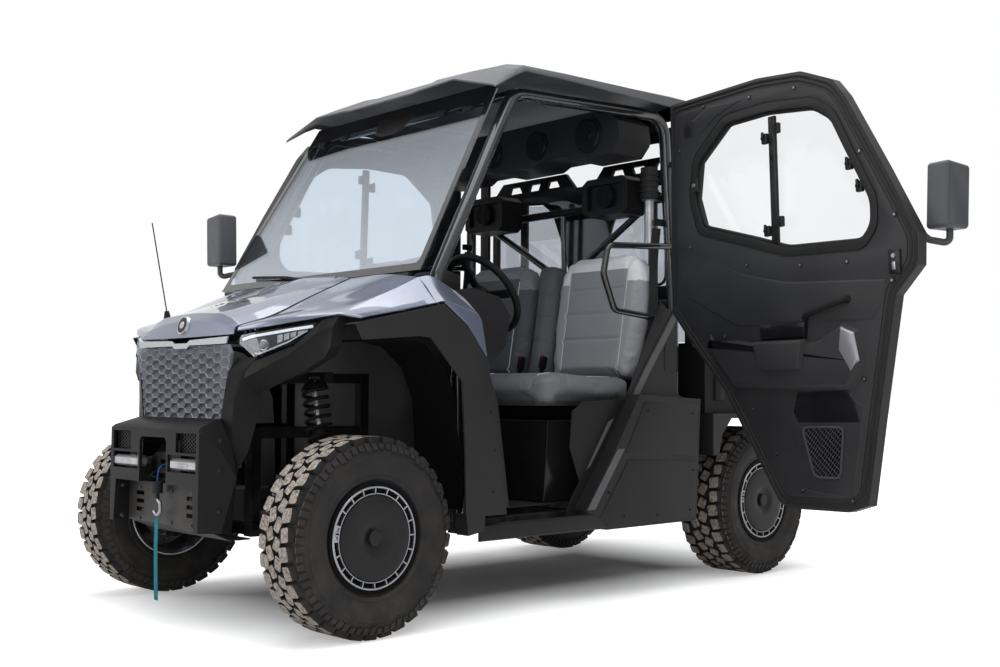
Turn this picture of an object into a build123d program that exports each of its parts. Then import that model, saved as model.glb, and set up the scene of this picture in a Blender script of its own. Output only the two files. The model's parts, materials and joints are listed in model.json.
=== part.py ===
from build123d import *
import os
from math import cos, radians, sin

# A closed-cab side-by-side utility vehicle, in millimetres.
# Vehicle coordinates while modelling: x = 0 is the centre plane and +x the vehicle's left,
# y = 0 is the front axle and +y goes to the tail, z = 0 is the ground.
# Every node is moved once, at export, so that the origin is on the ground under the
# middle of the whole object's box, with its left door standing open.

# ---------------------------------------------------------------- driving dimensions
WHEELBASE = 2285
NOSE_Y = -410                 # foremost face of the bumper
TAIL_Y = 2735                 # rear face of the tailgate
ORIGIN_X = 610                # the box's middle, from the centre plane
ORIGIN_Y = 1162               # the box's middle, from the front axle

TYRE_R = 340                  # 27 inch tyres
RIM_R = 189                   # 14 inch rims, over the flange
BEAD_R = 177.5                # the rim where the tyre's beads sit
FRONT_TYRE = dict(x=688, y=0, width=229, hub_in=655)
REAR_TYRE = dict(x=625, y=WHEELBASE, width=274, hub_in=585)
RIM_MARGIN = 27               # the rim is narrower than the tyre by this much on each side
KINGPIN_X = 610
SPINDLE_R = 20
RUNNING_GAP = 0.3

RAIL_X, RAIL_W = 255, 50      # frame rails, centre and size of the square tube
RAIL_Z = 312
FLOOR_Z = 392
SEAT_Z = 720                  # top of the seat box
TUBE_R = 25                   # roll cage tube
CAGE_FOOT_Z = RAIL_Z + RAIL_W - 1.8
SHEET = 4                     # moulded body panels

DOOR_HINGE = (746, 1672)      # x and y of the door's upright hinge axis
DOOR_OPEN = 78                # the left door stands open by this many degrees
DOOR_IN, DOOR_OUT = 706, 746  # the closed door between its inner and outer face
HINGE_Z = (1225, 1790)        # feet of the door's two hinge barrels

BED_Y, BED_FLOOR_Z, BED_TOP_Z = 1858, 745, 1040
BED_HALF = 735
BED_HINGE = (2560, 705)       # y and z of the dump hinge
GATE_HINGE = (2715, 772)      # y and z of the tailgate hinge
HOOD_HINGE = (232, 1268)      # y and z of the hood hinge

ROPE_R = 3
STRAP_W, STRAP_T = 25, 2.5


# ---------------------------------------------------------------- helpers
def box(x0, x1, y0, y1, z0, z1):
    """A block between two corners."""
    return Pos((x0 + x1) / 2, (y0 + y1) / 2, (z0 + z1) / 2) * Box(x1 - x0, y1 - y0, z1 - z0)


def extrude_x(points, x0, x1):
    """A prism along X from an outline of (y, z) points."""
    face = Plane.YZ * make_face(Polyline(*points, close=True))
    return Pos(x0, 0, 0) * extrude(face, amount=x1 - x0)


def extrude_y(points, y0, y1):
    """A prism along Y from an outline of (x, z) points."""
    face = make_face(Polyline(*[(x, y0, z) for x, z in points], close=True))
    return extrude(face, amount=y1 - y0, dir=(0, 1, 0))


def extrude_z(points, z0, z1):
    """A prism along Z from an outline of (x, y) points."""
    return Pos(0, 0, z0) * extrude(make_face(Polyline(*points, close=True)), amount=z1 - z0)


def ruled(*sections):
    """A solid through closed outlines of 3-D points, with straight walls between them."""
    faces = [make_face(Polyline(*section, close=True)) for section in sections]
    return loft(faces, ruled=True)


def rod(start, end, radius, start_radius=None):
    """A round bar between two points."""
    start, end = Vector(*start), Vector(*end)
    axis = end - start
    plane = Plane(start, z_dir=axis.normalized())
    if start_radius:
        return plane * Cone(start_radius, radius, axis.length, align=(Align.CENTER, Align.CENTER, Align.MIN))
    return plane * Cylinder(radius, axis.length, align=(Align.CENTER, Align.CENTER, Align.MIN))


def tube(points, radius, bend):
    """A bent round tube along a line of points, with one bend radius or one for each corner."""
    path = FilletPolyline(*points, radius=bend)
    start = Plane(path @ 0, z_dir=path % 0)
    return sweep(start * Circle(radius), path=path)


def strip_loft(rows, thickness):
    """A panel whose rows are lines of (x, y, z) points, thickened downwards."""
    sections = [row + [(x, y, z - thickness) for x, y, z in reversed(row)] for row in rows]
    return ruled(*sections)


def both(shape):
    """A shape and its mirror image on the other side of the vehicle."""
    return [shape, mirror(shape, about=Plane.YZ)]


def right(shape):
    """The mirror image on the vehicle's right."""
    return mirror(shape, about=Plane.YZ)


def fused(shapes):
    """One solid from shapes that overlap."""
    whole = shapes[0]
    for shape in shapes[1:]:
        whole = whole + shape
    return whole


def write(node, *shapes):
    """Write one node from its solids, moved from vehicle coordinates to the origin."""
    solids = [solid for shape in shapes for solid in shape.solids()]
    moved = [solid.moved(Location((-ORIGIN_X, -ORIGIN_Y, 0))) for solid in solids]
    export_step(moved[0] if len(moved) == 1 else Compound(children=moved), f"parts/{node}.step")


# ---------------------------------------------------------------- wheels
def tyre(place):
    """The hollow carcass of one tyre on the vehicle's left, open towards its rim."""
    half, bead = place["width"] / 2, place["width"] / 2 - RIM_MARGIN
    seat, wall = BEAD_R + 0.5, 14
    outline = [(seat, -bead), (RIM_R + 5, -bead), (RIM_R + 9, -bead - 9), (250, -half), (315, -half + 8),
               (332, -half + 30), (TYRE_R, -half + 62), (TYRE_R, half - 62), (332, half - 30),
               (315, half - 8), (250, half), (RIM_R + 9, bead + 9), (RIM_R + 5, bead), (seat, bead),
               (seat, bead - 16), (250, half - wall), (308, half - wall - 12), (318, half - 64),
               (318, -half + 64), (308, -half + wall + 12), (250, -half + wall), (seat, -bead + 16)]
    return spun_about_axle(outline, place)


def spun_about_axle(outline, place):
    """A revolved solid from (radius, distance outwards) points round a wheel's axle."""
    centre = Vector(place["x"], place["y"], TYRE_R)
    profile = [(centre.X + along, centre.Y, centre.Z + radius) for radius, along in outline]
    face = make_face(Polyline(*profile, close=True))
    return revolve(face, axis=Axis(centre, (1, 0, 0)))


SLOTS = 20


def rim(place):
    """One wheel: its barrel with both flanges, a ring of pockets, a flat cap, hub and brake disc."""
    bead = place["width"] / 2 - RIM_MARGIN + 0.5
    edge, face = bead + 6, bead - 12
    barrel = [(BEAD_R, -bead), (RIM_R, -bead), (RIM_R, -edge), (RIM_R - 5, -edge), (BEAD_R - 6, -bead + 4),
              (BEAD_R - 18, -bead + 34), (BEAD_R - 18, bead - 60), (70, bead - 36), (70, face),
              (RIM_R - 48, face), (RIM_R - 41, face + 4), (RIM_R - 10, edge), (RIM_R, edge), (RIM_R, bead), (BEAD_R, bead),
              (BEAD_R - 4, bead - 18), (BEAD_R - 12, bead - 30), (BEAD_R - 12, -bead + 32)]
    wheel = spun_about_axle(barrel, place)
    hub_in = place["hub_in"] - place["x"]
    hub = [(SPINDLE_R + RUNNING_GAP, hub_in), (48, hub_in), (48, face - 30), (71, face - 14),
           (71, face + 12), (32, face + 16), (28, face + 20), (0, face + 20), (0, face - 10),
           (SPINDLE_R + RUNNING_GAP, face - 10)]
    disc = [(44, hub_in + 6), (112, hub_in + 6), (112, hub_in + 12), (44, hub_in + 12)]
    wheel = wheel + spun_about_axle(hub, place) + spun_about_axle(disc, place)
    centre = Location((place["x"] + face + 8, place["y"], TYRE_R))
    pocket = Pos(0, 0, 157) * Box(40, 31, 22)
    cutters = [centre * Rot(i * 360 / SLOTS, 0, 0) * pocket for i in range(SLOTS)]
    return wheel - cutters


# ---------------------------------------------------------------- frame and running gear
def frame():
    """The frame's square tubes, butted and welded: rails, cross members, outriggers and uprights."""
    half = RAIL_W / 2
    top = RAIL_Z + RAIL_W
    inner, outer = RAIL_X - half, RAIL_X + half
    bars = [box(-inner, inner, y - 20, y + 20, RAIL_Z + 5, top - 5)
            for y in (-150, 400, 960, 1480, 1800, 2420, 2580)]
    side = [box(inner, outer, -170, 2600, RAIL_Z, top), box(640, 685, 440, 1800, RAIL_Z + 2, top - 2)]
    side += [box(outer, 640, y - 20, y + 20, RAIL_Z + 5, top - 5) for y in (520, 1100, 1740)]
    x0, x1 = RAIL_X - 20, RAIL_X + 20
    side += [box(x0, x1, y - 20, y + 20, top, height)
             for y, height in ((-150, 700), (330, 900), (1830, 740), (2130, 740), (2450, 700))]
    side += [box(x0, x1, y0, y1, 660, 700)
             for y0, y1 in ((-130, 310), (1850, 2110), (2150, 2245), (2285, 2430), (2470, 2600))]
    side += [box(x0, x1, BUMPER_BACK + 0.6, -170, 640, 676), box(x0, x1, 74, 310, 862, 898),
             box(x0, x1, 2150, 2245, 700, 728)]
    bars += [copy for piece in side for copy in both(piece)]
    bars += [box(-reach, reach, y - 20, y + 20, z, z + 40) for y, z, reach in ((54, 860, 430), (2265, 690, 390))]
    return bars


def a_arm(inner, outer, width, radius, perch, stud):
    """One A-shaped arm: two tubes from the frame's pivots to one ball joint, with a damper perch."""
    (x, z), (bx, y, bz) = inner, outer
    legs = [rod((x, y + s * width, z), (bx, y + s * 12, bz), radius) for s in (-1, 1)]
    pivots = [rod((x, y + s * width - 28, z), (x, y + s * width + 28, z), radius + 6) for s in (-1, 1)]
    brace_z = z + (bz - z) * 0.3
    brace = rod((x + 95, y - width * 0.75, brace_z), (x + 95, y + width * 0.75, brace_z), radius * 0.8)
    joint = Pos(bx, y, bz) * Cylinder(24, 26)
    pieces = legs + pivots + [brace, joint]
    if stud:
        pieces.append(rod((bx, y, bz + 10), (bx, y, stud), 9))
    if perch:
        pieces.append(box(*perch))
    return fused(pieces)


FRONT_LOWER = dict(inner=(304, 342), outer=(KINGPIN_X, 0, 240), width=110, perch=None, stud=269.5)
FRONT_UPPER = dict(inner=(300, 480), outer=(KINGPIN_X, 0, 446), width=75, stud=None,
                   perch=(493, 517, -40, 30, 446, 476.5))
REAR_HUB_X = 545
REAR_LOWER = dict(inner=(304, 342), outer=(REAR_HUB_X, WHEELBASE, 250), width=110, stud=276,
                  perch=(428, 452, WHEELBASE - 104, WHEELBASE - 48, 286, 312.5))
REAR_UPPER = dict(inner=(300, 480), outer=(REAR_HUB_X, WHEELBASE, 440), width=38, perch=None, stud=None)


def suspension_arms(lower, upper):
    """Both lower and both upper arms of one axle."""
    arms = [a_arm(radius=16, **lower), a_arm(radius=13, **upper)]
    return [copy for arm in arms for copy in both(arm)]


def coil_over(top, foot, coils):
    """One damper with its coil spring and end eyes."""
    top, foot = Vector(*top), Vector(*foot)
    axis = foot - top
    spot = [tuple(top + axis * t) for t in (0, 0.08, 0.5, 0.62, 1)]
    parts = [rod(spot[0], spot[3], 24), rod(spot[3], spot[4], 9),
             rod(tuple(top + axis * 0.06), tuple(top + axis * 0.10), 40),
             rod(tuple(top + axis * 0.72), tuple(top + axis * 0.76), 40)]
    turn = 0.62 / coils
    for i in range(coils):
        middle = 0.11 + turn * (i + 0.5)
        ring = Plane(tuple(top + axis * middle), z_dir=axis.normalized()) * (
            Cylinder(38, axis.length * turn * 0.5) - Cylinder(22, axis.length * turn * 0.6))
        parts.append(ring)
    parts.append(rod(tuple(top + axis * 0.10), tuple(top + axis * 0.73), 23))
    for end in (spot[0], spot[4]):
        parts.append(rod((end[0], end[1] - 17, end[2]), (end[0], end[1] + 17, end[2]), 15))
    return fused(parts)


def knuckle():
    """The front left knuckle with its spindle, steering arm and brake caliper."""
    centre = TYRE_R
    boss = rod((578, 0, centre), (632, 0, centre), 54)
    plate = box(632, 650, -48, 48, centre - 48, centre + 48)
    spindle = rod((640, 0, centre), (735, 0, centre), SPINDLE_R)
    upper = extrude_y([(592, centre + 40), (628, centre + 40), (624, 428), (596, 428)], -24, 24)
    lower = extrude_y([(592, centre - 40), (628, centre - 40), (624, 270), (596, 270)], -24, 24)
    arm = extrude_z([(588, 30), (625, 30), (612, 132), (584, 132)], 378, 392)
    caliper = box(625, 690, -118, -72, centre + 10, centre + 82)
    disc_gap = rod((655, 0, centre), (673, 0, centre), 117)
    bracket = box(625, 648, -90, -30, centre + 18, centre + 60)
    body = boss + plate + upper + lower + arm + (caliper - disc_gap) + bracket
    body = body - rod((570, 0, centre), (634, 0, centre), 42)
    return body + spindle


def rear_hub_carrier():
    """The rear left hub carrier with its spindle."""
    centre = TYRE_R
    y = WHEELBASE
    boss = rod((520, y, centre), (580, y, centre), 54)
    legs = box(REAR_HUB_X - 18, REAR_HUB_X + 18, y - 26, y + 26, 276, 426)
    spindle = rod((575, y, centre), (680, y, centre), SPINDLE_R)
    return (boss + legs) - rod((510, y, centre), (562, y, centre), 42) + spindle


SHAFT_RISE = 60               # the gearcases' outputs stand above the wheel centres


def half_shaft(y, inner, outer):
    """One half shaft with a boot at each end, sloping down to its hub."""
    def at(x):
        return (x, y, TYRE_R + SHAFT_RISE * (outer - x) / (outer - inner))
    return fused([rod(at(inner), at(outer), 13), rod(at(inner + 10), at(inner + 80), 20, 44),
                  rod(at(outer - 110), at(outer - 66), 27, 17)])


def gearcase(y, width, depth, z0, z1):
    """A gearcase at the middle of one axle, with its round output flanges."""
    case = box(-width, width, y - depth, y + depth, z0, z1)
    z = TYRE_R + SHAFT_RISE
    return case + rod((-width - 22, y, z), (width + 22, y, z), 48)


def steering_rack():
    """The rack with both tie rods and their end eyes, which slide together."""
    y, z = 118, 406
    bar = rod((-588, y, z), (588, y, z), 8.5)
    eyes = [Pos(side * 596, y, z) * Cylinder(17, 22) for side in (-1, 1)]
    return fused([bar] + eyes)


def rack_housing():
    """The rack's housing on the frame, open at both ends."""
    y, z = 118, 406
    body = box(-150, 150, y - 26, y + 28, z - 26, z + 26) + box(-235, 235, y - 18, y + 18, 362, z - 20)
    return body - rod((-240, y, z), (240, y, z), 14)


# ---------------------------------------------------------------- nose
BUMPER_BACK = -309
BUMPER_FACE = [(-415, 535), (-380, 625), (-332, 690), (-296, 733), (296, 733), (332, 690), (380, 625),
               (415, 535), (383, 345), (300, 345), (286, 500), (-286, 500), (-300, 345), (-383, 345)]
BUMPER_SIDE = [(NOSE_Y, 330), (NOSE_Y, 694), (NOSE_Y + 10, 704), (BUMPER_BACK, 734), (BUMPER_BACK, 330)]
SKID_Y = -358
SKIN = 11                     # wall of the bumper


def front_bumper():
    """The moulded bumper: chamfered corners, legs beside the skid plate, a recess and two vents."""
    corner = extrude_z([(330, NOSE_Y - 1), (450, NOSE_Y - 1), (450, BUMPER_BACK), (418, BUMPER_BACK)], 300, 760)
    shell = extrude_y(BUMPER_FACE, NOSE_Y, BUMPER_BACK) & extrude_x(BUMPER_SIDE, -450, 450)
    shell = shell - corner - right(corner)
    inner_face = [(-400, 535), (-366, 620), (-322, 680), (-288, 720), (288, 720), (322, 680), (366, 620),
                  (400, 535), (370, 320), (313, 320), (298, 511), (-298, 511), (-313, 320), (-370, 320)]
    inner_side = [(NOSE_Y + SKIN, 300), (NOSE_Y + SKIN, 692), (BUMPER_BACK + 1, 721), (BUMPER_BACK + 1, 300)]
    inner = extrude_y(inner_face, NOSE_Y + SKIN, BUMPER_BACK + 1) & extrude_x(inner_side, -450, 450)
    inner_corner = extrude_z([(322, NOSE_Y), (450, NOSE_Y), (450, BUMPER_BACK + 2), (404, BUMPER_BACK + 2)],
                             290, 770)
    inner = inner - inner_corner - right(inner_corner)
    recess = extrude_y([(-100, 490), (-100, 650), (-86, 664), (86, 664), (100, 650), (100, 490)],
                       NOSE_Y - 5, BUMPER_BACK - 25)
    vents = [box(x0, x1, NOSE_Y - 5, NOSE_Y + 25, 614, 682) for x0, x1 in ((-310, -170), (170, 310))]
    pockets = [box(x0, x1, NOSE_Y - 5, NOSE_Y + 40, 545, 605) for x0, x1 in ((-308, -112), (112, 308))]
    return shell - inner - recess - vents - pockets


def front_skid():
    """The metal plate between the bumper's legs, swept back below, with cooling slots."""
    side = [(SKID_Y, 350), (SKID_Y, 496), (SKID_Y + 5, 496), (SKID_Y + 5, 353), (-250, 309), (-172, 309),
            (-172, 304), (-252, 304)]
    plate = extrude_x(side, -282, 282)
    slots = [box(x - 30, x + 30, SKID_Y - 10, SKID_Y + 20, z, z + 14)
             for x in (-190, 190) for z in (384, 414, 444)]
    return plate - slots


def winch():
    """The winch: drum, motor housing, tie bars and the fairlead in front."""
    drum = rod((-70, -290, 565), (70, -290, 565), 28)
    ends = [rod((s * 70, -290, 565), (s * 165, -290, 565), 40) for s in (-1, 1)]
    bars = [box(-120, 120, -320, -310, z - 5, z + 5) for z in (532, 598)]
    foot = box(-160, 160, -318, -255, 515, 528)
    plate = box(-90, 90, -346, -334, 530, 605) - box(-60, 60, -350, -330, 552, 580)
    links = [box(s * 80 - 6, s * 80 + 6, -336, -280, 534, 600) for s in (-1, 1)]
    return fused([drum] + ends + bars + [foot, plate] + links)


def tow_hooks():
    """Two forged tow points standing in the bumper's pockets."""
    block = box(120, 300, -406, -362, 550, 592) - box(146, 274, -410, -380, 562, 580)
    tongue = box(190, 230, -366, -180, 555, 583)
    return both(block + tongue)


def grille():
    """The grille panel with staggered rows of tapered recesses."""
    outline = [(-340, 962), (-318, 992), (318, 992), (340, 962), (318, 900), (279, 722), (-279, 722),
               (-318, 900)]
    panel = extrude_y(outline, -299, -288)
    pockets = []
    for row in range(12):
        z = 742 + row * 21
        for column in range(-6, 7):
            x = column * 44 + (22 if row % 2 else 0)
            if abs(x) < 238 + (z - 742) * 0.2:
                pockets.append(Pos(x, -302, z) * Box(27, 12, 9))
    return panel - pockets


ARM_SECTIONS = {
    946: [(345, -272), (428, -246), (450, -205), (345, -205)],
    900: [(325, -300), (385, -275), (440, -215), (330, -200)],
    800: [(303, -302), (352, -288), (392, -205), (303, -190)],
    720: [(285, -304), (345, -292), (388, -222), (290, -200)],
    620: [(285, -303), (352, -292), (385, -250), (300, -220)],
    540: [(300, -300), (352, -294), (362, -285), (310, -270)],
}
HORN_SECTIONS = {
    390: [(-262, 925), (-276, 872), (-229, 820), (-190, 830), (-200, 925)],
    460: [(-238, 945), (-252, 905), (-202, 854), (-160, 862), (-170, 945)],
    560: [(-182, 988), (-200, 958), (-155, 892), (-110, 900), (-120, 984)],
    660: [(-138, 1070), (-150, 1033), (-130, 942), (-80, 950), (-80, 1060)],
    700: [(-100, 1082), (-125, 1045), (-134, 975), (-90, 980), (-70, 1078)],
}


def front_fascia():
    """The black front body: grille sides down to the bumper, horns under the lamps and the brow."""
    arm = ruled(*[[(x, y, z) for x, y in outline] for z, outline in ARM_SECTIONS.items()])
    horn = ruled(*[[(x, y, z) for y, z in outline] for x, outline in HORN_SECTIONS.items()])
    brow = box(-318, 318, -284, -150, 993.5, 1003)
    return both(arm + horn) + [brow]


def silver_strip():
    """The bright strip under the hood, with a dip at the middle."""
    outline = [(-330, 1020), (-322, 995), (-62, 995), (-46, 984), (46, 984), (62, 995), (322, 995),
               (330, 1020), (66, 1014), (46, 1004), (-46, 1004), (-66, 1014)]
    return extrude_y(outline, -307, -299.6)


LAMP_PLAN = [(338, -274), (430, -258), (560, -198), (642, -138), (642, -60), (338, -190)]
LAMP_FACE = [(338, 1002), (352, 992), (428, 946), (548, 990), (640, 1064), (560, 1050), (360, 1024)]


def headlamps():
    """Two swept lamps between the grille, the hood and the fender horns."""
    return both(extrude_z(LAMP_PLAN, 900, 1100) & extrude_y(LAMP_FACE, -300, 0))


# ---------------------------------------------------------------- hood and fenders
HOOD_ROWS = [(-283, 336, 1032, 1040), (-262, 335, 1098, 1062), (-120, 325, 1150, 1106), (60, 312, 1218, 1188),
             (232, 300, 1281, 1262)]


def hood_row(y, half, crown, edge_z):
    """One cross line of the lid from its left edge to its right edge."""
    return [(-half, y, edge_z), (60 - half, y, crown - 8), (0, y, crown), (half - 60, y, crown - 8),
            (half, y, edge_z)]
def hood():
    """The lid over the nose, with its hinge barrels under the rear edge."""
    y, z = HOOD_HINGE
    barrels = [rod((s * 170, y, z), (s * 215, y, z), 7.5) for s in (-1, 1)]
    return fused([strip_loft([hood_row(*row) for row in HOOD_ROWS], SHEET)] + barrels)


FENDER_LINES = {
    520: [(-222, 1058), (-205, 1085), (-60, 1125), (90, 1190), (240, 1258)],
    700: [(-100, 1092), (-85, 1100), (-20, 1130), (110, 1170), (245, 1240)],
    798: [(-80, 1078), (-60, 1084), (0, 1096), (130, 1121), (252, 1145)],
}
FENDER_SEAM = [(343 - (y + 276) * 0.07, y, z)
               for y, z in ((-276, 1040), (-255, 1062), (-112, 1106), (66, 1188), (238, 1262))]
FENDER_SIDE = [(284, 1147), (300, 1149), (446, 1115), (464, 1092), (484, 1000), (491, 957), (397, 1070)]
def front_fenders():
    """Both painted shoulders beside the lid, out to the flare, with the side behind the flare."""
    lines = [FENDER_SEAM] + [[(x, y, z) for y, z in line] for x, line in FENDER_LINES.items()]
    shoulder = strip_loft(lines, SHEET)
    tail = strip_loft([[(700, 245, 1240), (748, 245, 1196), (798, 245, 1144)],
                       [(716, 300, 1243), (748, 300, 1202), (798, 300, 1150)],
                       [(716, 440, 1182), (748, 440, 1157), (797, 440, 1117)]], SHEET)
    return both(shoulder + tail + extrude_x(FENDER_SIDE, 790, 797))


FLARE = [(-100, 1056), (-48, 1070), (281, 1141), (396, 1064), (492, 946), (504, 885), (518, 809), (580, 440),
         (590, 384), (484, 384), (478, 330), (402, 318), (389, 418), (385, 640), (374, 800), (368, 870),
         (221, 1020), (172, 1023), (-70, 1002)]
FLARE_HOLLOW = [(-200, 1036), (-48, 1061), (279, 1131), (390, 1058), (484, 942), (496, 883), (510, 807),
                (571, 438), (580, 392), (400, 392), (380, 300), (-300, 300)]
DOOR_JAMB = [(500, 404), (590, 398), (699, 398), (640, 778), (560, 1000), (470, 1105), (436, 1105), (470, 950)]
JAMB_IN, JAMB_OUT = 693.5, 697  # sheet inside the closed door, beside the frame's pillars


def fender_flares():
    """Both dark flares over the front wheels, with the cladding behind each wheel and the door's jamb."""
    panel = extrude_x(FLARE, 735, 800) - extrude_x(FLARE_HOLLOW, 730, 792)
    edge = [(496, 883), (504, 885), (518, 809), (580, 440), (590, 392), (582, 392), (572, 438), (510, 807)]
    return both(panel + extrude_x(edge, JAMB_IN, 740) + extrude_x(DOOR_JAMB, JAMB_IN, JAMB_OUT))


def wheel_liners():
    """Inner liners over the front wheels, between the fender and the frame."""
    points = [(10, 1004), (150, 1012), (250, 994), (345, 920), (398, 800), (410, 640), (416, 404), (421, 404),
              (415, 642), (403, 803), (349, 924), (253, 999), (150, 1017), (10, 1009)]
    return both(extrude_x(points, 480, 728))


# ---------------------------------------------------------------- cab
def speaker_pod():
    """The left loudspeaker housing on the rear cross bar."""
    face = [(270, 1655), (270, 1780), (300, 1802), (510, 1802), (540, 1780), (540, 1655), (510, 1632), (300, 1632)]
    return extrude_y(face, 1560, 1700) - box(300, 510, 1555, 1580, 1662, 1772)


def air_spring():
    """The ribbed bellows and its bright tube beside the left pillar, carried by the loudspeaker."""
    parts = [rod((600, 1640, 1475), (600, 1640, 1690), 22), rod((600, 1640, 1685), (600, 1640, 1830), 38),
             box(530, 600, 1630, 1650, 1730, 1750)]
    return parts + [rod((600, 1640, z), (600, 1640, z + 12), 42) for z in (1695, 1720, 1745, 1770, 1795)]


def hinge_bracket(z):
    """The left pillar's half of one door hinge, above the door's barrel."""
    x, y = DOOR_HINGE
    return [rod((x, y, z), (x, y, z + 24), 9), box(x - 8, x + 4, y + 4, y + 32, z, z + 24),
            box(650, x + 4, y + 24, y + 32, z, z + 24)]


def cage():
    """The roll cage: a hoop along each side, cross bars, seat-back braces and what hangs on them."""
    side = [(668, 462, CAGE_FOOT_Z), (668, 462, 960), (676, 335, 1225), (622, 775, 2010), (640, 1690, 2062),
            (668, 1716, 1240), (668, 1716, CAGE_FOOT_Z)]
    bars = both(tube(side, TUBE_R, [120, 90, 110, 90, 200]))
    cross = [((-625, 800, 2016), (625, 800, 2016)), ((-642, 1692, 2020), (642, 1692, 2020)),
             ((-668, 1724, 1230), (668, 1724, 1230)), ((-672, 352, 1150), (672, 352, 1150)),
             ((-654, 1712, 1700), (654, 1712, 1700))]
    bars += [rod(a, b, 19) for a, b in cross]
    bars.append(rod((0, 1726, 1230), (0, 1714, 1700), 13))
    for s in (-1, 1):
        bars.append(rod((s * 600, 1714, 1722), (s * 10, 1723, 1372), 16))
        bars.append(tube([(s * 668, 1706, 1480), (s * 668, 1290, 1450), (s * 668, 1262, 1330),
                          (s * 668, 1330, 1180), (s * 668, 1710, 1150)], 14, 40))
    bars += both(speaker_pod()) + air_spring()
    for z in HINGE_Z:
        bars += [copy for piece in hinge_bracket(z + 41) for copy in both(piece)]
    return fused(bars)


ROOF_ROWS = {
    600: [(715, 1994), (700, 2002), (600, 2030), (470, 2066), (250, 2060), (215, 2056)],
    705: [(716, 2058), (704, 2076), (606, 2108), (470, 2116), (250, 2122), (215, 2116)],
    760: [(716, 2084), (704, 2104), (606, 2128), (470, 2126), (250, 2140), (215, 2134)],
    1000: [(716, 2090), (704, 2114), (606, 2142), (440, 2130), (250, 2166), (215, 2160)],
    1780: [(716, 2092), (704, 2136), (606, 2174), (440, 2152), (250, 2178), (215, 2172)],
    1850: [(690, 2080), (680, 2118), (600, 2158), (440, 2140), (250, 2162), (215, 2156)],
}


def roof():
    """The moulded roof: a raised middle, side shoulders, side skirts and a front visor."""
    rows = []
    for y, half in ROOF_ROWS.items():
        rows.append([(-x, y, z) for x, z in half] + [(x, y, z) for x, z in reversed(half)])
    return strip_loft(rows, 7)


WS_FOOT, WS_HEAD = (262, 1268), (715, 2045)


def sloped_panel(foot_half, head_half, foot, head, thickness):
    """A flat sloping panel from its foot and head half widths."""
    slope = Vector(0, head[0] - foot[0], head[1] - foot[1]).normalized()
    out = Vector(0, slope.Z, -slope.Y) * thickness
    outer = [(-foot_half, foot[0], foot[1]), (foot_half, foot[0], foot[1]),
             (head_half, head[0], head[1]), (-head_half, head[0], head[1])]
    inner = [(x, y + out.Y, z + out.Z) for x, y, z in outer]
    return ruled(outer, inner)


def windscreen():
    """The laminated windscreen."""
    return sloped_panel(690, 612, WS_FOOT, WS_HEAD, 6)


def cowl():
    """The black cowl between the lid and the windscreen's foot, with the wiper shelf."""
    side = [(246, 1262), (258, 1262), (276, 1240), (330, 1215), (440, 1196), (440, 1090), (434, 1090),
            (434, 1191), (329, 1209), (270, 1234), (246, 1250)]
    return extrude_x(side, -640, 640)


def floor_pan():
    """The cab's floor, toe board and the wall under the dash."""
    side = [(1480, FLOOR_Z), (640, FLOOR_Z), (470, 470), (440, 1100), (434, 1100), (464, 467),
            (638, FLOOR_Z - 6), (1480, FLOOR_Z - 6)]
    return extrude_x(side, -640, 640)


def seat_base():
    """The box under the seats: kick panel, top and ends, open underneath."""
    outer = extrude_x([(960, FLOOR_Z + 2), (985, SEAT_Z), (1600, SEAT_Z), (1600, FLOOR_Z + 2)], -620, 620)
    inner = extrude_x([(965, FLOOR_Z - 10), (990, SEAT_Z - 5), (1595, SEAT_Z - 5), (1595, FLOOR_Z - 10)],
                      -615, 615)
    return outer - inner


def rear_wall():
    """The cab's rear wall below the window."""
    panel = box(-640, 640, 1772, 1777, 400, 1300)
    return panel


SEATS = ((-612, -118), (-108, 108), (118, 612))


def seat_cushions():
    """Three soft cushions on the seat box."""
    return [fillet(box(x0, x1, 965, 1520, SEAT_Z + 2, 868).edges(), 28) for x0, x1 in SEATS]


def seat_backs():
    """Three soft backs leaning on the rear wall."""
    backs = []
    for x0, x1 in SEATS:
        side = [(1500, 880), (1640, 880), (1700, 1450), (1590, 1450)]
        backs.append(fillet(extrude_x(side, x0, x1).edges(), 28))
    return backs


def dashboard():
    """The dashboard: a rounded beam across the cab over the toe board."""
    side = [(464, 1190), (560, 1225), (700, 1200), (760, 1130), (735, 1010), (650, 930), (480, 900),
            (464, 900)]
    hollow = [(460, 1186), (560, 1219), (697, 1195), (754, 1128), (730, 1014), (648, 936), (480, 906),
              (460, 906)]
    return extrude_x(side, -636, 636) - extrude_x(hollow, -631, 631)


COLUMN_FOOT, COLUMN_HEAD = (360, 700, 1120), (360, 862, 1236)


def steering_wheel():
    """The steering wheel: rim, three spokes and hub, on its column's axis."""
    foot, head = Vector(*COLUMN_FOOT), Vector(*COLUMN_HEAD)
    plane = Plane(head, x_dir=(1, 0, 0), z_dir=(head - foot).normalized())
    wheel = Torus(178, 15) + Pos(0, 0, -25) * Cylinder(48, 40)
    for angle in (0, 180, 270):
        wheel += Rot(0, 0, angle) * Pos(104, 0, -14) * Box(130, 34, 12)
    return plane * wheel


def steering_column():
    """The column tube from the dashboard to the steering wheel."""
    foot, head = Vector(*COLUMN_FOOT), Vector(*COLUMN_HEAD)
    end = head - (head - foot).normalized() * 50
    start = foot - (head - foot).normalized() * 10
    return rod(tuple(start), tuple(end), 30)


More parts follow.
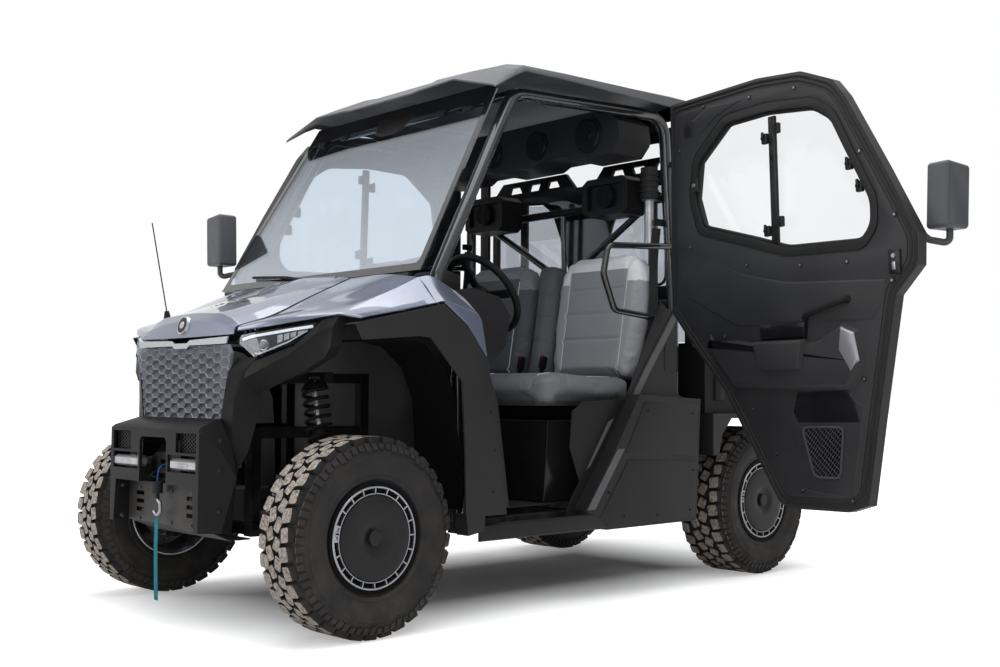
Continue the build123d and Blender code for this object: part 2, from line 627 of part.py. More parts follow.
def overhead_console():
    """The housing under the rear of the roof with its round outlets."""
    outline = [(-560, 2060), (-640, 2000), (-650, 1935), (-645, 1911), (-600, 1862), (-370, 1862), (-330, 1883),
               (-170, 1883), (-125, 1862), (125, 1862), (170, 1883), (330, 1883), (370, 1862), (600, 1862),
               (645, 1911), (650, 1935), (640, 2000), (560, 2060)]
    hollow = [(-555, 2070), (-634, 1998), (-644, 1935), (-640, 1913), (-598, 1868), (-372, 1868), (-332, 1889),
              (-168, 1889), (-123, 1868), (123, 1868), (168, 1889), (332, 1889), (372, 1868), (598, 1868),
              (640, 1913), (644, 1935), (634, 1998), (555, 2070)]
    shell = extrude_y(outline, 1385, 1590) - extrude_y(hollow, 1391, 1584)
    return shell


def rear_window():
    """The rear window's glass in the gap above the rear wall."""
    return box(-595.5, 595.5, 1774, 1779, 1316.5, 1980.5)


def rear_window_frame():
    """The frame round the rear window."""
    return box(-655, 655, 1768, 1786, 1270, 2030) - box(-596, 596, 1760, 1790, 1316, 1981)


# ---------------------------------------------------------------- doors
DOOR_OUTLINE = [(1648, 2076), (1111, 2076), (878, 2052), (718, 1985), (661, 1917), (490, 1627), (352, 1381),
                (358, 1272), (458, 1175), (525, 809), (589, 434), (686, 404), (980, 395), (1033, 414),
                (1181, 620), (1343, 842), (1509, 1006), (1606, 1104), (1672, 1176), (1672, 1300)]
WINDOW_OUTLINE = [(1298, 1934), (1062, 1937), (824, 1909), (735, 1853), (664, 1718), (555, 1519), (556, 1433),
                  (607, 1377), (975, 1389), (1168, 1445), (1461, 1523), (1505, 1656), (1479, 1802)]
LEAN_Z, LEAN = 1180, 0.035


def lean_prism(points, x0, x1):
    """A prism across the door's thickness whose upper part leans with the door."""
    low = extrude_x(points, x0 - 120, x1 + 120)
    below = box(x0, x1, 200, 1900, 200, LEAN_Z)
    top = [(x0, 200, LEAN_Z), (x1, 200, LEAN_Z), (x1 - 1000 * LEAN, 200, LEAN_Z + 1000),
           (x0 - 1000 * LEAN, 200, LEAN_Z + 1000)]
    upper = extrude(make_face(Polyline(*top, close=True)), amount=1700, dir=(0, 1, 0))
    return low & (below + upper)


def door_shell():
    """The left door, closed: its pan with the window cut, a pocket, and two hinge barrels."""
    shell = lean_prism(DOOR_OUTLINE, DOOR_IN, DOOR_OUT)
    window = extrude_x(WINDOW_OUTLINE, 500, 900)
    pocket = extrude_x([(916, 712), (620, 718), (654, 519), (849, 514)], DOOR_IN - 10, DOOR_IN + 22)
    shell = shell - window - pocket
    x, y = DOOR_HINGE
    for z in HINGE_Z:
        shell = shell - box(x - 22, x + 20, y - 14, y + 10, z + 39.5, z + 66)
        shell = shell + box(x - 30, x, y - 22, y, z, z + 38) + rod((x, y, z), (x, y, z + 40), 9)
    return shell


def door_glass():
    """The left door's window."""
    grown = [(y, z) for y, z in WINDOW_OUTLINE]
    return lean_prism(grown, DOOR_OUT - 16, DOOR_OUT - 11)


def mirror_housing():
    """The left mirror on its arm at the door's front corner."""
    arm = tube([(738.3, 434, 1416), (762, 434, 1416), (800, 392, 1366), (836, 336, 1350), (838, 336, 1402)],
               12, [10, 18, 18])
    head = extrude_y([(775, 1400), (893, 1400), (903, 1622), (785, 1634)], 296, 390)
    return arm + fillet(head.edges(), 14)


def swung(shape, angle):
    """A left-door shape turned about the door's hinge."""
    return shape.rotate(Axis((DOOR_HINGE[0], DOOR_HINGE[1], 0), (0, 0, 1)), angle)


# ---------------------------------------------------------------- cab sides
SIDE_JAMB = [(1000, 304), (1024, 388), (1087, 476), (1030, 613), (1044, 758), (1079, 777), (1101, 796),
             (1367, 807), (1599, 1229), (1660, 1190), (1713, 1180), (1713, 830), (1790, 800), (1762, 304)]
LOWER_PANEL = [(1390, 827), (1798, 808), (1770, 344), (1761, 282), (1180, 281), (1060, 365), (1243, 609)]
LOWER_HOLLOW = [(1396, 820), (1791, 802), (1763, 344), (1755, 288), (1184, 288), (1068, 367), (1249, 607)]
JAMB_STRIP = [(1684, 1196), (1481, 938), (1257, 621), (1066, 376), (1110, 348), (1303, 597), (1527, 914),
              (1713, 1150), (1713, 1160)]


def side_panel():
    """The left side behind the door: a jamb inside the door's edge, its strip, and the lower panel."""
    lower = extrude_x(LOWER_PANEL, JAMB_IN, 758) - extrude_x(LOWER_HOLLOW, JAMB_OUT, 752)
    return extrude_x(SIDE_JAMB, JAMB_IN, JAMB_OUT) + lower + extrude_x(JAMB_STRIP, JAMB_IN, JAMB_OUT + 3)


def sill():
    """The left sill under the door opening."""
    section = [(628, 386), (628, 380), (690, 370), (752, 367), (760, 348), (745, 303), (690, 300), (690, 305),
               (740, 308), (752, 348), (748, 361), (690, 376)]
    return extrude_y(section, 484, 1190)


# ---------------------------------------------------------------- bed and tail
HEADBOARD = [(-660, 1035), (-660, 1850), (-580, 1928), (-128, 1928), (-60, 1850), (60, 1850), (128, 1928),
             (580, 1928), (660, 1850), (660, 1035)]


def headboard():
    """The screen at the bed's front, as tall as the cab's rear window."""
    board = extrude_y(HEADBOARD, BED_Y + 4, BED_Y + 24)
    inner = [(100, 1060), (100, 1420), (170, 1620), (220, 1740), (290, 1790), (407, 1798), (407, 1060)]
    outer = [(448, 1060), (448, 1798), (560, 1790), (620, 1740), (620, 1060)]
    for outline in (inner, outer):
        window = extrude_y(outline, BED_Y - 10, BED_Y + 40)
        board = board - window - right(window)
    for x0, x1, cut in ((170, 262, 18), (305, 395, -14), (440, 540, 18)):
        slot = extrude_y([(x0 + max(0, -cut), 1868), (x0 + max(0, cut), 1902), (x1 - 14, 1902), (x1, 1868)],
                         BED_Y - 10, BED_Y + 40)
        board = board - slot - right(slot)
    return board


def cargo_bed():
    """The cargo bed: a ribbed floor, three double walls, its headboard and its hinge lugs."""
    outer = box(-BED_HALF, BED_HALF, BED_Y, GATE_HINGE[0] - 8, BED_FLOOR_Z, BED_TOP_Z)
    inner = box(-BED_HALF + 40, BED_HALF - 40, BED_Y + 38, TAIL_Y + 20, BED_FLOOR_Z + 22, BED_TOP_Z + 10)
    bed = outer - inner
    for i in range(9):
        x = -560 + i * 140
        bed = bed - box(x - 22, x + 22, BED_Y + 60, TAIL_Y, BED_FLOOR_Z + 17, BED_FLOOR_Z + 24)
    y, z = BED_HINGE
    for s in (-1, 1):
        x0, x1 = sorted((s * 180, s * 200))
        bed = bed + box(x0, x1, y - 25, y + 25, z - 14, BED_FLOOR_Z + 4)
        bed = bed + rod((s * 172, y, z), (s * 231, y, z), 9)
    return bed + headboard()


def tailgate():
    """The tailgate between the bed's side walls, with its hinge pins."""
    y, z = GATE_HINGE
    panel = box(-BED_HALF + 46, BED_HALF - 46, y - 4, TAIL_Y, z + 2, BED_TOP_Z)
    field = box(-520, 520, TAIL_Y - 6, TAIL_Y + 5, z + 60, BED_TOP_Z - 50)
    pins = [rod((s * 500, y, z), (s * 600, y, z), 6) for s in (-1, 1)]
    return fused([panel - field] + pins)


def rear_flares():
    """Both flares along the bed's lower edges, over the rear wheels."""
    arch = [(1862, 744.5), (2690, 744.5), (2680, 700), (2590, 690), (2570, 722), (2000, 722), (1930, 650),
            (1905, 560), (1862, 560)]
    return both(extrude_x(arch, 690, 778))


def tail_lamps():
    """Two tail lamps on the ends of the bed's side walls."""
    return both(box(697, 733, 2707, 2724, 800, 980))


def engine_block():
    """The engine, as one plain block under the bed's front."""
    return box(-215, 215, 1812, 2110, 372, 655)


def muffler():
    """The silencer across the tail, with its outlet."""
    can = rod((-190, 2500, 545), (190, 2500, 545), 82)
    outlet = tube([(120, 2500, 545), (120, 2600, 545), (120, 2660, 530)], 22, 30)
    return can + outlet


def hitch_receiver():
    """The 2 inch square receiver with its cross pin bore."""
    outer = box(-32, 32, 2560, 2720, 395, 459)
    bore = box(-25.4, 25.4, 2570, 2730, 401.6, 452.4)
    bracket = box(-120, 120, 2560, 2572, RAIL_Z + RAIL_W - 5, 470)
    return outer + bracket - bore - pin_bore()


def pin_bore():
    """The cross bore for the hitch pin."""
    return rod((-50, 2672, 427), (50, 2672, 427), 8)


def belly_skid():
    """The flat skid under the frame, between the axles."""
    return box(-300, 300, 180, 2150, 304, 309)


# ---------------------------------------------------------------- winch line
HOOK_Y = -388
ROPE_ROUTE = [(0, -347, 566), (0, -368, 564), (0, -383, 549), (0, HOOK_Y, 526), (0, HOOK_Y, 503)]
STRAP_ROUTE = [(0, HOOK_Y, 373.9), (2, -389, 330), (3, -391, 280), (2, -389, 230), (0, -387, 180),
               (0, -385, 130), (1, -385, 80)]


def bend_radii(points):
    """The largest bend at each corner of a route: 0.45 of its shorter run over tan(turn / 2)."""
    radii = []
    for a, b, c in zip(points, points[1:], points[2:]):
        before, after = Vector(*b) - Vector(*a), Vector(*c) - Vector(*b)
        turn = radians(before.get_angle(after))
        radii.append(0.45 * min(before.length, after.length) / (sin(turn / 2) / cos(turn / 2)))
    return radii


def winch_rope():
    """The rope from the fairlead to the hook's stopper."""
    radii = bend_radii(ROPE_ROUTE)
    print("rope bend radii", [round(r) for r in radii])
    return tube(ROPE_ROUTE, ROPE_R, radii)


def winch_hook():
    """The rubber stopper with the hook below it."""
    stopper = rod((0, HOOK_Y, 503), (0, HOOK_Y, 462), 20)
    shank = rod((0, HOOK_Y, 464), (0, HOOK_Y, 440), 8)
    path = [(0, HOOK_Y, 442), (22, HOOK_Y, 428), (26, HOOK_Y, 400), (0, HOOK_Y, 380), (-22, HOOK_Y, 396)]
    bow = tube(path, 6, [12, 14, 16])
    return stopper + shank + bow


def hook_strap():
    """The webbing strap that hangs from the hook."""
    radii = bend_radii(STRAP_ROUTE)
    print("strap bend radii", [round(r) for r in radii])
    path = FilletPolyline(*STRAP_ROUTE, radius=radii)
    start = Plane(path @ 0, x_dir=(1, 0, 0), z_dir=path % 0)
    return sweep(start * Rectangle(STRAP_W, STRAP_T), path=path)


def antenna():
    """The whip on the right fender."""
    base = rod((-400, -150, 1112), (-402, -153, 1150), 9, 16)
    return base + rod((-402, -153, 1148), (-448, -200, 1505), 2.5)


def main():
    """Build every piece and write one file for each node."""
    os.makedirs("parts", exist_ok=True)
    front_wheel, rear_wheel = rim(FRONT_TYRE), rim(REAR_TYRE)
    front_tyre, rear_tyre = tyre(FRONT_TYRE), tyre(REAR_TYRE)
    write("front_left_tyre", front_tyre)
    write("front_right_tyre", right(front_tyre))
    write("rear_left_tyre", rear_tyre)
    write("rear_right_tyre", right(rear_tyre))
    write("front_left_wheel", front_wheel)
    write("front_right_wheel", right(front_wheel))
    write("rear_left_wheel", rear_wheel)
    write("rear_right_wheel", right(rear_wheel))
    write("frame", *frame())
    write("rack_housing", rack_housing())
    write("hitch_receiver", hitch_receiver())
    write("suspension_arms", *suspension_arms(FRONT_LOWER, FRONT_UPPER), *suspension_arms(REAR_LOWER, REAR_UPPER))
    write("dampers", *both(coil_over((418, -8, 880), (505, -5, 492), 7)),
          *both(coil_over((375, WHEELBASE - 84, 710), (440, WHEELBASE - 84, 328), 7)))
    write("front_left_knuckle", knuckle())
    write("front_right_knuckle", right(knuckle()))
    write("rear_hub_carriers", *both(rear_hub_carrier()))
    write("axle_drives", fused([gearcase(0, 90, 85, 345, 465)] + both(half_shaft(0, 90, 612))),
          fused([gearcase(WHEELBASE, 110, 100, 340, 480)] + both(half_shaft(WHEELBASE, 110, 552))))
    write("steering_rack", steering_rack())
    write("engine_block", engine_block())
    write("muffler", muffler())
    write("skid_plates", belly_skid(), front_skid())
    write("front_bumper", front_bumper())
    write("winch", winch())
    write("tow_hooks", *tow_hooks())
    write("grille", grille())
    write("front_fascia", *front_fascia())
    write("silver_strip", silver_strip())
    write("headlamps", *headlamps())
    write("hood", hood())
    write("front_fenders", *front_fenders())
    write("fender_flares", *fender_flares())
    write("rear_flares", *rear_flares())
    write("wheel_liners", *wheel_liners())
    write("antenna", antenna())
    write("cage", cage())
    write("roof", roof())
    write("windscreen", windscreen())
    write("rear_window", rear_window())
    write("rear_wall", rear_wall() + rear_window_frame())
    write("floor_pan", floor_pan() + cowl())
    write("seat_base", seat_base())
    write("seats", *seat_cushions(), *seat_backs())
    write("dashboard", dashboard() + steering_column())
    write("steering_wheel", steering_wheel())
    write("overhead_console", overhead_console())
    write("left_door", swung(door_shell(), DOOR_OPEN))
    write("left_door_glass", swung(door_glass(), DOOR_OPEN))
    write("left_mirror", swung(mirror_housing(), DOOR_OPEN))
    write("right_door", right(door_shell()))
    write("right_door_glass", right(door_glass()))
    write("right_mirror", right(mirror_housing()))
    write("side_sills", *both(side_panel() + sill()))
    write("cargo_bed", cargo_bed())
    write("tailgate", tailgate())
    write("tail_lamps", *tail_lamps())
    write("winch_rope", winch_rope())
    write("winch_hook", winch_hook())
    write("hook_strap", hook_strap())


main()
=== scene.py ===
"""Looks of a closed-cab side-by-side utility vehicle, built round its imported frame.

Lengths are in metres. Sizes are given in vehicle coordinates: x = 0 on the centre plane and +x on
the vehicle's left, y = 0 at the front axle and +y towards the tail, z = 0 on the ground.
"""

import json
import logging
import math
from collections.abc import Callable, Sequence
from dataclasses import dataclass
from enum import Enum

import bmesh
import bpy
from bmesh.types import BMEdge, BMesh, BMFace, BMVert
from bpy.types import Material, NodeSocket
from mathutils import Matrix, Vector


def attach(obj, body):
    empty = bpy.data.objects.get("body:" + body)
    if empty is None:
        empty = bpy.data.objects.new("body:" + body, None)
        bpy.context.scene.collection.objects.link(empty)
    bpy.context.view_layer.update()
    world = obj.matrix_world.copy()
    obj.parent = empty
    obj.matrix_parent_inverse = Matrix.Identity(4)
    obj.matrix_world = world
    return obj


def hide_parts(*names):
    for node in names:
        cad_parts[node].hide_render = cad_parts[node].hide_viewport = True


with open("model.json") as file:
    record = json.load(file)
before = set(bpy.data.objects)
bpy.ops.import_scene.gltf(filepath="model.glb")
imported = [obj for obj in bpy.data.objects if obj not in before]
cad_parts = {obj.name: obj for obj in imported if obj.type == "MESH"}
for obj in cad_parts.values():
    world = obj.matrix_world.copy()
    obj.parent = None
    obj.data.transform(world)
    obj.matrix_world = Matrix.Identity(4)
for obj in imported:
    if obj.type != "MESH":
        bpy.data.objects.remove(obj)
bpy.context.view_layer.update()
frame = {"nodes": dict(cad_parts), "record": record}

LOG = logging.getLogger("utility_vehicle")
Point = tuple[float, float, float]
Pair = tuple[float, float]
Outline = Sequence[Pair]

# The frame's origin, in vehicle coordinates.
ORIGIN = Vector((0.610, 1.162, 0.0))
WHEELBASE = 2.285
TYRE_R = 0.340
# How far the left door stands open at rest, in degrees.
DOOR_REST = 78.0
# Points nearer than this are merged, and faces flatter than this are joined, in a frame node's copy.
WELD = 2e-5
FLAT = math.radians(0.6)
# Edges of a frame node sharper than this are rounded.
EASED_ANGLE = math.radians(40)


class Side(Enum):
    """The two sides of the vehicle, by the sign of x."""

    LEFT = 1
    RIGHT = -1


def placed(point: Sequence[float]) -> Vector:
    """Move a point from vehicle coordinates to the frame's coordinates.

    Args:
        point: x, y and z in vehicle coordinates.

    Returns:
        The same point in the frame.
    """
    return Vector(point) - ORIGIN


def shifted(x: float, y: float, z: float) -> Matrix:
    """Give the place at a point."""
    return Matrix.Translation((x, y, z))


def rotated(axis: str, degrees: float) -> Matrix:
    """Give a turn about an axis."""
    return Matrix.Rotation(math.radians(degrees), 4, axis)


def side_plane(x: float) -> Matrix:
    """Give an upright plane that faces +x: X along y, Y up and Z outwards."""
    return Matrix(((0, 0, 1, x), (1, 0, 0, 0), (0, 1, 0, 0), (0, 0, 0, 1)))


# ---------------------------------------------------------------- finishes
class Grain(Enum):
    """The fine relief of a surface."""

    NONE = "none"
    MOULDED = "moulded"
    LEATHER = "leather"
    CAST = "cast"
    ORANGE_PEEL = "orange peel"
    BRUSHED = "brushed"
    WOVEN = "woven"
    RUBBER = "rubber"


@dataclass(frozen=True)
class Finish:
    """One procedural finish.

    Attributes:
        name: The material's name.
        colour: Linear base colour.
        second: Linear colour that noise mixes in.
        mix: How far the second colour shows, from 0 to 1.
        blotch: Size of the colour's variation, as a noise scale.
        roughness: Middle roughness.
        spread: How much the roughness varies either way.
        metallic: Metallic value.
        coat: Clear coat weight.
        grain: Kind of fine relief.
        grain_scale: Scale of that relief.
        relief: Strength of that relief.
        dust: How much pale dust lies low on the surface.
        specular: Specular level.
    """

    name: str
    colour: Point
    second: Point
    mix: float = 0.5
    blotch: float = 6.0
    roughness: float = 0.5
    spread: float = 0.08
    metallic: float = 0.0
    coat: float = 0.0
    grain: Grain = Grain.MOULDED
    grain_scale: float = 900.0
    relief: float = 0.15
    dust: float = 0.0
    specular: float = 0.18


DUST_COLOUR = (0.235, 0.205, 0.175)


class Shader:
    """A small builder of node trees."""

    def __init__(self, name: str) -> None:
        """Start an empty material with a Principled shader.

        Args:
            name: The material's name.
        """
        self.material = bpy.data.materials.new(name)
        self.material.use_nodes = True
        self.nodes = self.material.node_tree.nodes
        self.links = self.material.node_tree.links
        self.shader = self.nodes["Principled BSDF"]
        self.coords = self.nodes.new("ShaderNodeTexCoord")

    def add(self, kind: str, **values: object) -> bpy.types.Node:
        """Add a node and set its properties.

        Args:
            kind: The node's type.
            values: Properties to set on it.

        Returns:
            The new node.
        """
        node = self.nodes.new(kind)
        for key, value in values.items():
            setattr(node, key, value)
        return node

    def link(self, source: NodeSocket, target: NodeSocket) -> None:
        """Join two sockets."""
        self.links.new(source, target)

    def noise(self, scale: float, detail: float = 3.0, stretch: Point = (1, 1, 1)) -> NodeSocket:
        """Add noise on the object's own coordinates.

        Args:
            scale: The noise's scale.
            detail: Its detail.
            stretch: Scale along each axis.

        Returns:
            The noise's factor.
        """
        mapping = self.add("ShaderNodeMapping")
        mapping.inputs["Scale"].default_value = stretch
        self.link(self.coords.outputs["Object"], mapping.inputs["Vector"])
        noise = self.add("ShaderNodeTexNoise")
        noise.inputs["Scale"].default_value = scale
        noise.inputs["Detail"].default_value = detail
        self.link(mapping.outputs["Vector"], noise.inputs["Vector"])
        return noise.outputs["Fac"]

    def cells(self, scale: float, feature: str = "F1") -> NodeSocket:
        """Add cells on the object's own coordinates.

        Args:
            scale: The cells' scale.
            feature: Which Voronoi feature to give.

        Returns:
            The distance output.
        """
        cells = self.add("ShaderNodeTexVoronoi", feature=feature)
        cells.inputs["Scale"].default_value = scale
        self.link(self.coords.outputs["Object"], cells.inputs["Vector"])
        return cells.outputs["Distance"]

    def axis(self, name: str, source: NodeSocket | None = None) -> NodeSocket:
        """Give one axis of a vector.

        Args:
            name: X, Y or Z.
            source: The vector, or nothing for the object's own coordinates.

        Returns:
            The axis's value.
        """
        split = self.add("ShaderNodeSeparateXYZ")
        self.link(source or self.coords.outputs["Object"], split.inputs["Vector"])
        return split.outputs[name]

    def joined(self, operation: str, one: NodeSocket, two: NodeSocket) -> NodeSocket:
        """Join two values by a sum, a product or the like.

        Args:
            operation: The math node's operation.
            one: The first value.
            two: The second value.

        Returns:
            The result.
        """
        node = self.add("ShaderNodeMath", operation=operation)
        self.link(one, node.inputs[0])
        self.link(two, node.inputs[1])
        return node.outputs["Value"]

    def ramp(self, source: NodeSocket, low: float, high: float, start: float = 0.0,
            end: float = 1.0) -> NodeSocket:
        """Map a value from one range to another, clamped.

        Args:
            source: The value.
            low: Start of the range read.
            high: End of the range read.
            start: Start of the range given.
            end: End of the range given.

        Returns:
            The mapped value.
        """
        node = self.add("ShaderNodeMapRange")
        self.link(source, node.inputs["Value"])
        for key, value in zip(("From Min", "From Max", "To Min", "To Max"), (low, high, start, end)):
            node.inputs[key].default_value = value
        return node.outputs["Result"]

    def blend(self, factor: NodeSocket, first: object, second: object) -> NodeSocket:
        """Mix two colours.

        Args:
            factor: The mixing factor.
            first: A colour or a colour socket.
            second: A colour or a colour socket.

        Returns:
            The mixed colour.
        """
        node = self.add("ShaderNodeMix", data_type="RGBA")
        self.link(factor, node.inputs["Factor"])
        for key, value in (("A", first), ("B", second)):
            socket = [s for s in node.inputs if s.name == key and s.type == "RGBA"][0]
            if isinstance(value, NodeSocket):
                self.link(value, socket)
            else:
                socket.default_value = (*value, 1.0)
        return [s for s in node.outputs if s.type == "RGBA"][0]

    def bump(self, height: NodeSocket, strength: float) -> None:
        """Give the surface a relief of up to a millimetre.

        Args:
            height: The height.
            strength: The relief's strength.
        """
        node = self.add("ShaderNodeBump")
        node.inputs["Strength"].default_value = strength
        node.inputs["Distance"].default_value = 0.001
        self.link(height, node.inputs["Height"])
        self.link(node.outputs["Normal"], self.shader.inputs["Normal"])

    def set(self, **values: object) -> None:
        """Set the shader's own sockets, named with underscores for spaces."""
        for key, value in values.items():
            self.shader.inputs[key.replace("_", " ")].default_value = value


def grain_height(tree: Shader, grain: Grain, scale: float) -> NodeSocket:
    """Make the height of one kind of relief.

    Args:
        tree: The material being built.
        grain: The kind of relief.
        scale: Its scale.

    Returns:
        The height socket.
    """
    if grain is Grain.LEATHER:
        return tree.cells(scale, "SMOOTH_F1")
    if grain is Grain.BRUSHED:
        return tree.noise(scale, 2.0, (0.06, 1.0, 1.0))
    if grain is Grain.CAST:
        return tree.noise(scale * 0.5, 8.0)
    if grain is Grain.WOVEN:
        wave = tree.add("ShaderNodeTexWave", bands_direction="Z")
        wave.inputs["Scale"].default_value = scale
        tree.link(tree.coords.outputs["Object"], wave.inputs["Vector"])
        return wave.outputs["Fac"]
    return tree.noise(scale, 4.0)


def finished(finish: Finish) -> Material:
    """Build a finish as a material.

    Args:
        finish: The finish.

    Returns:
        The material.
    """
    tree = Shader(finish.name)
    blotches = tree.noise(finish.blotch, 5.0)
    amount = tree.ramp(blotches, 0.35, 0.68, 0.0, finish.mix)
    colour = tree.blend(amount, finish.colour, finish.second)
    rough = tree.ramp(blotches, 0.3, 0.7, finish.roughness - finish.spread, finish.roughness
        + finish.spread)
    if finish.dust > 0:
        low = tree.ramp(tree.axis("Z"), 0.75, 0.15)
        patch = tree.ramp(tree.noise(14.0, 8.0), 0.38, 0.72)
        film = tree.ramp(tree.joined("MULTIPLY", low, patch), 0.0, 1.0, 0.0, finish.dust)
        colour = tree.blend(film, colour, DUST_COLOUR)
    tree.link(colour, tree.shader.inputs["Base Color"])
    tree.link(rough, tree.shader.inputs["Roughness"])
    tree.set(Metallic=finish.metallic, Coat_Weight=finish.coat, Specular_IOR_Level=finish.specular)
    if finish.coat:
        tree.set(Coat_Roughness=0.05)
    if finish.grain is not Grain.NONE:
        tree.bump(grain_height(tree, finish.grain, finish.grain_scale), finish.relief)
    return tree.material


# Reliefs that several finishes share.
LEATHER = {"grain": Grain.LEATHER, "grain_scale": 420, "relief": 0.3}
MOULDED = {"grain_scale": 1000, "relief": 0.25}
FINE = {"grain_scale": 900, "relief": 0.12}
SEAL = {"grain": Grain.RUBBER, "grain_scale": 600, "relief": 0.2}

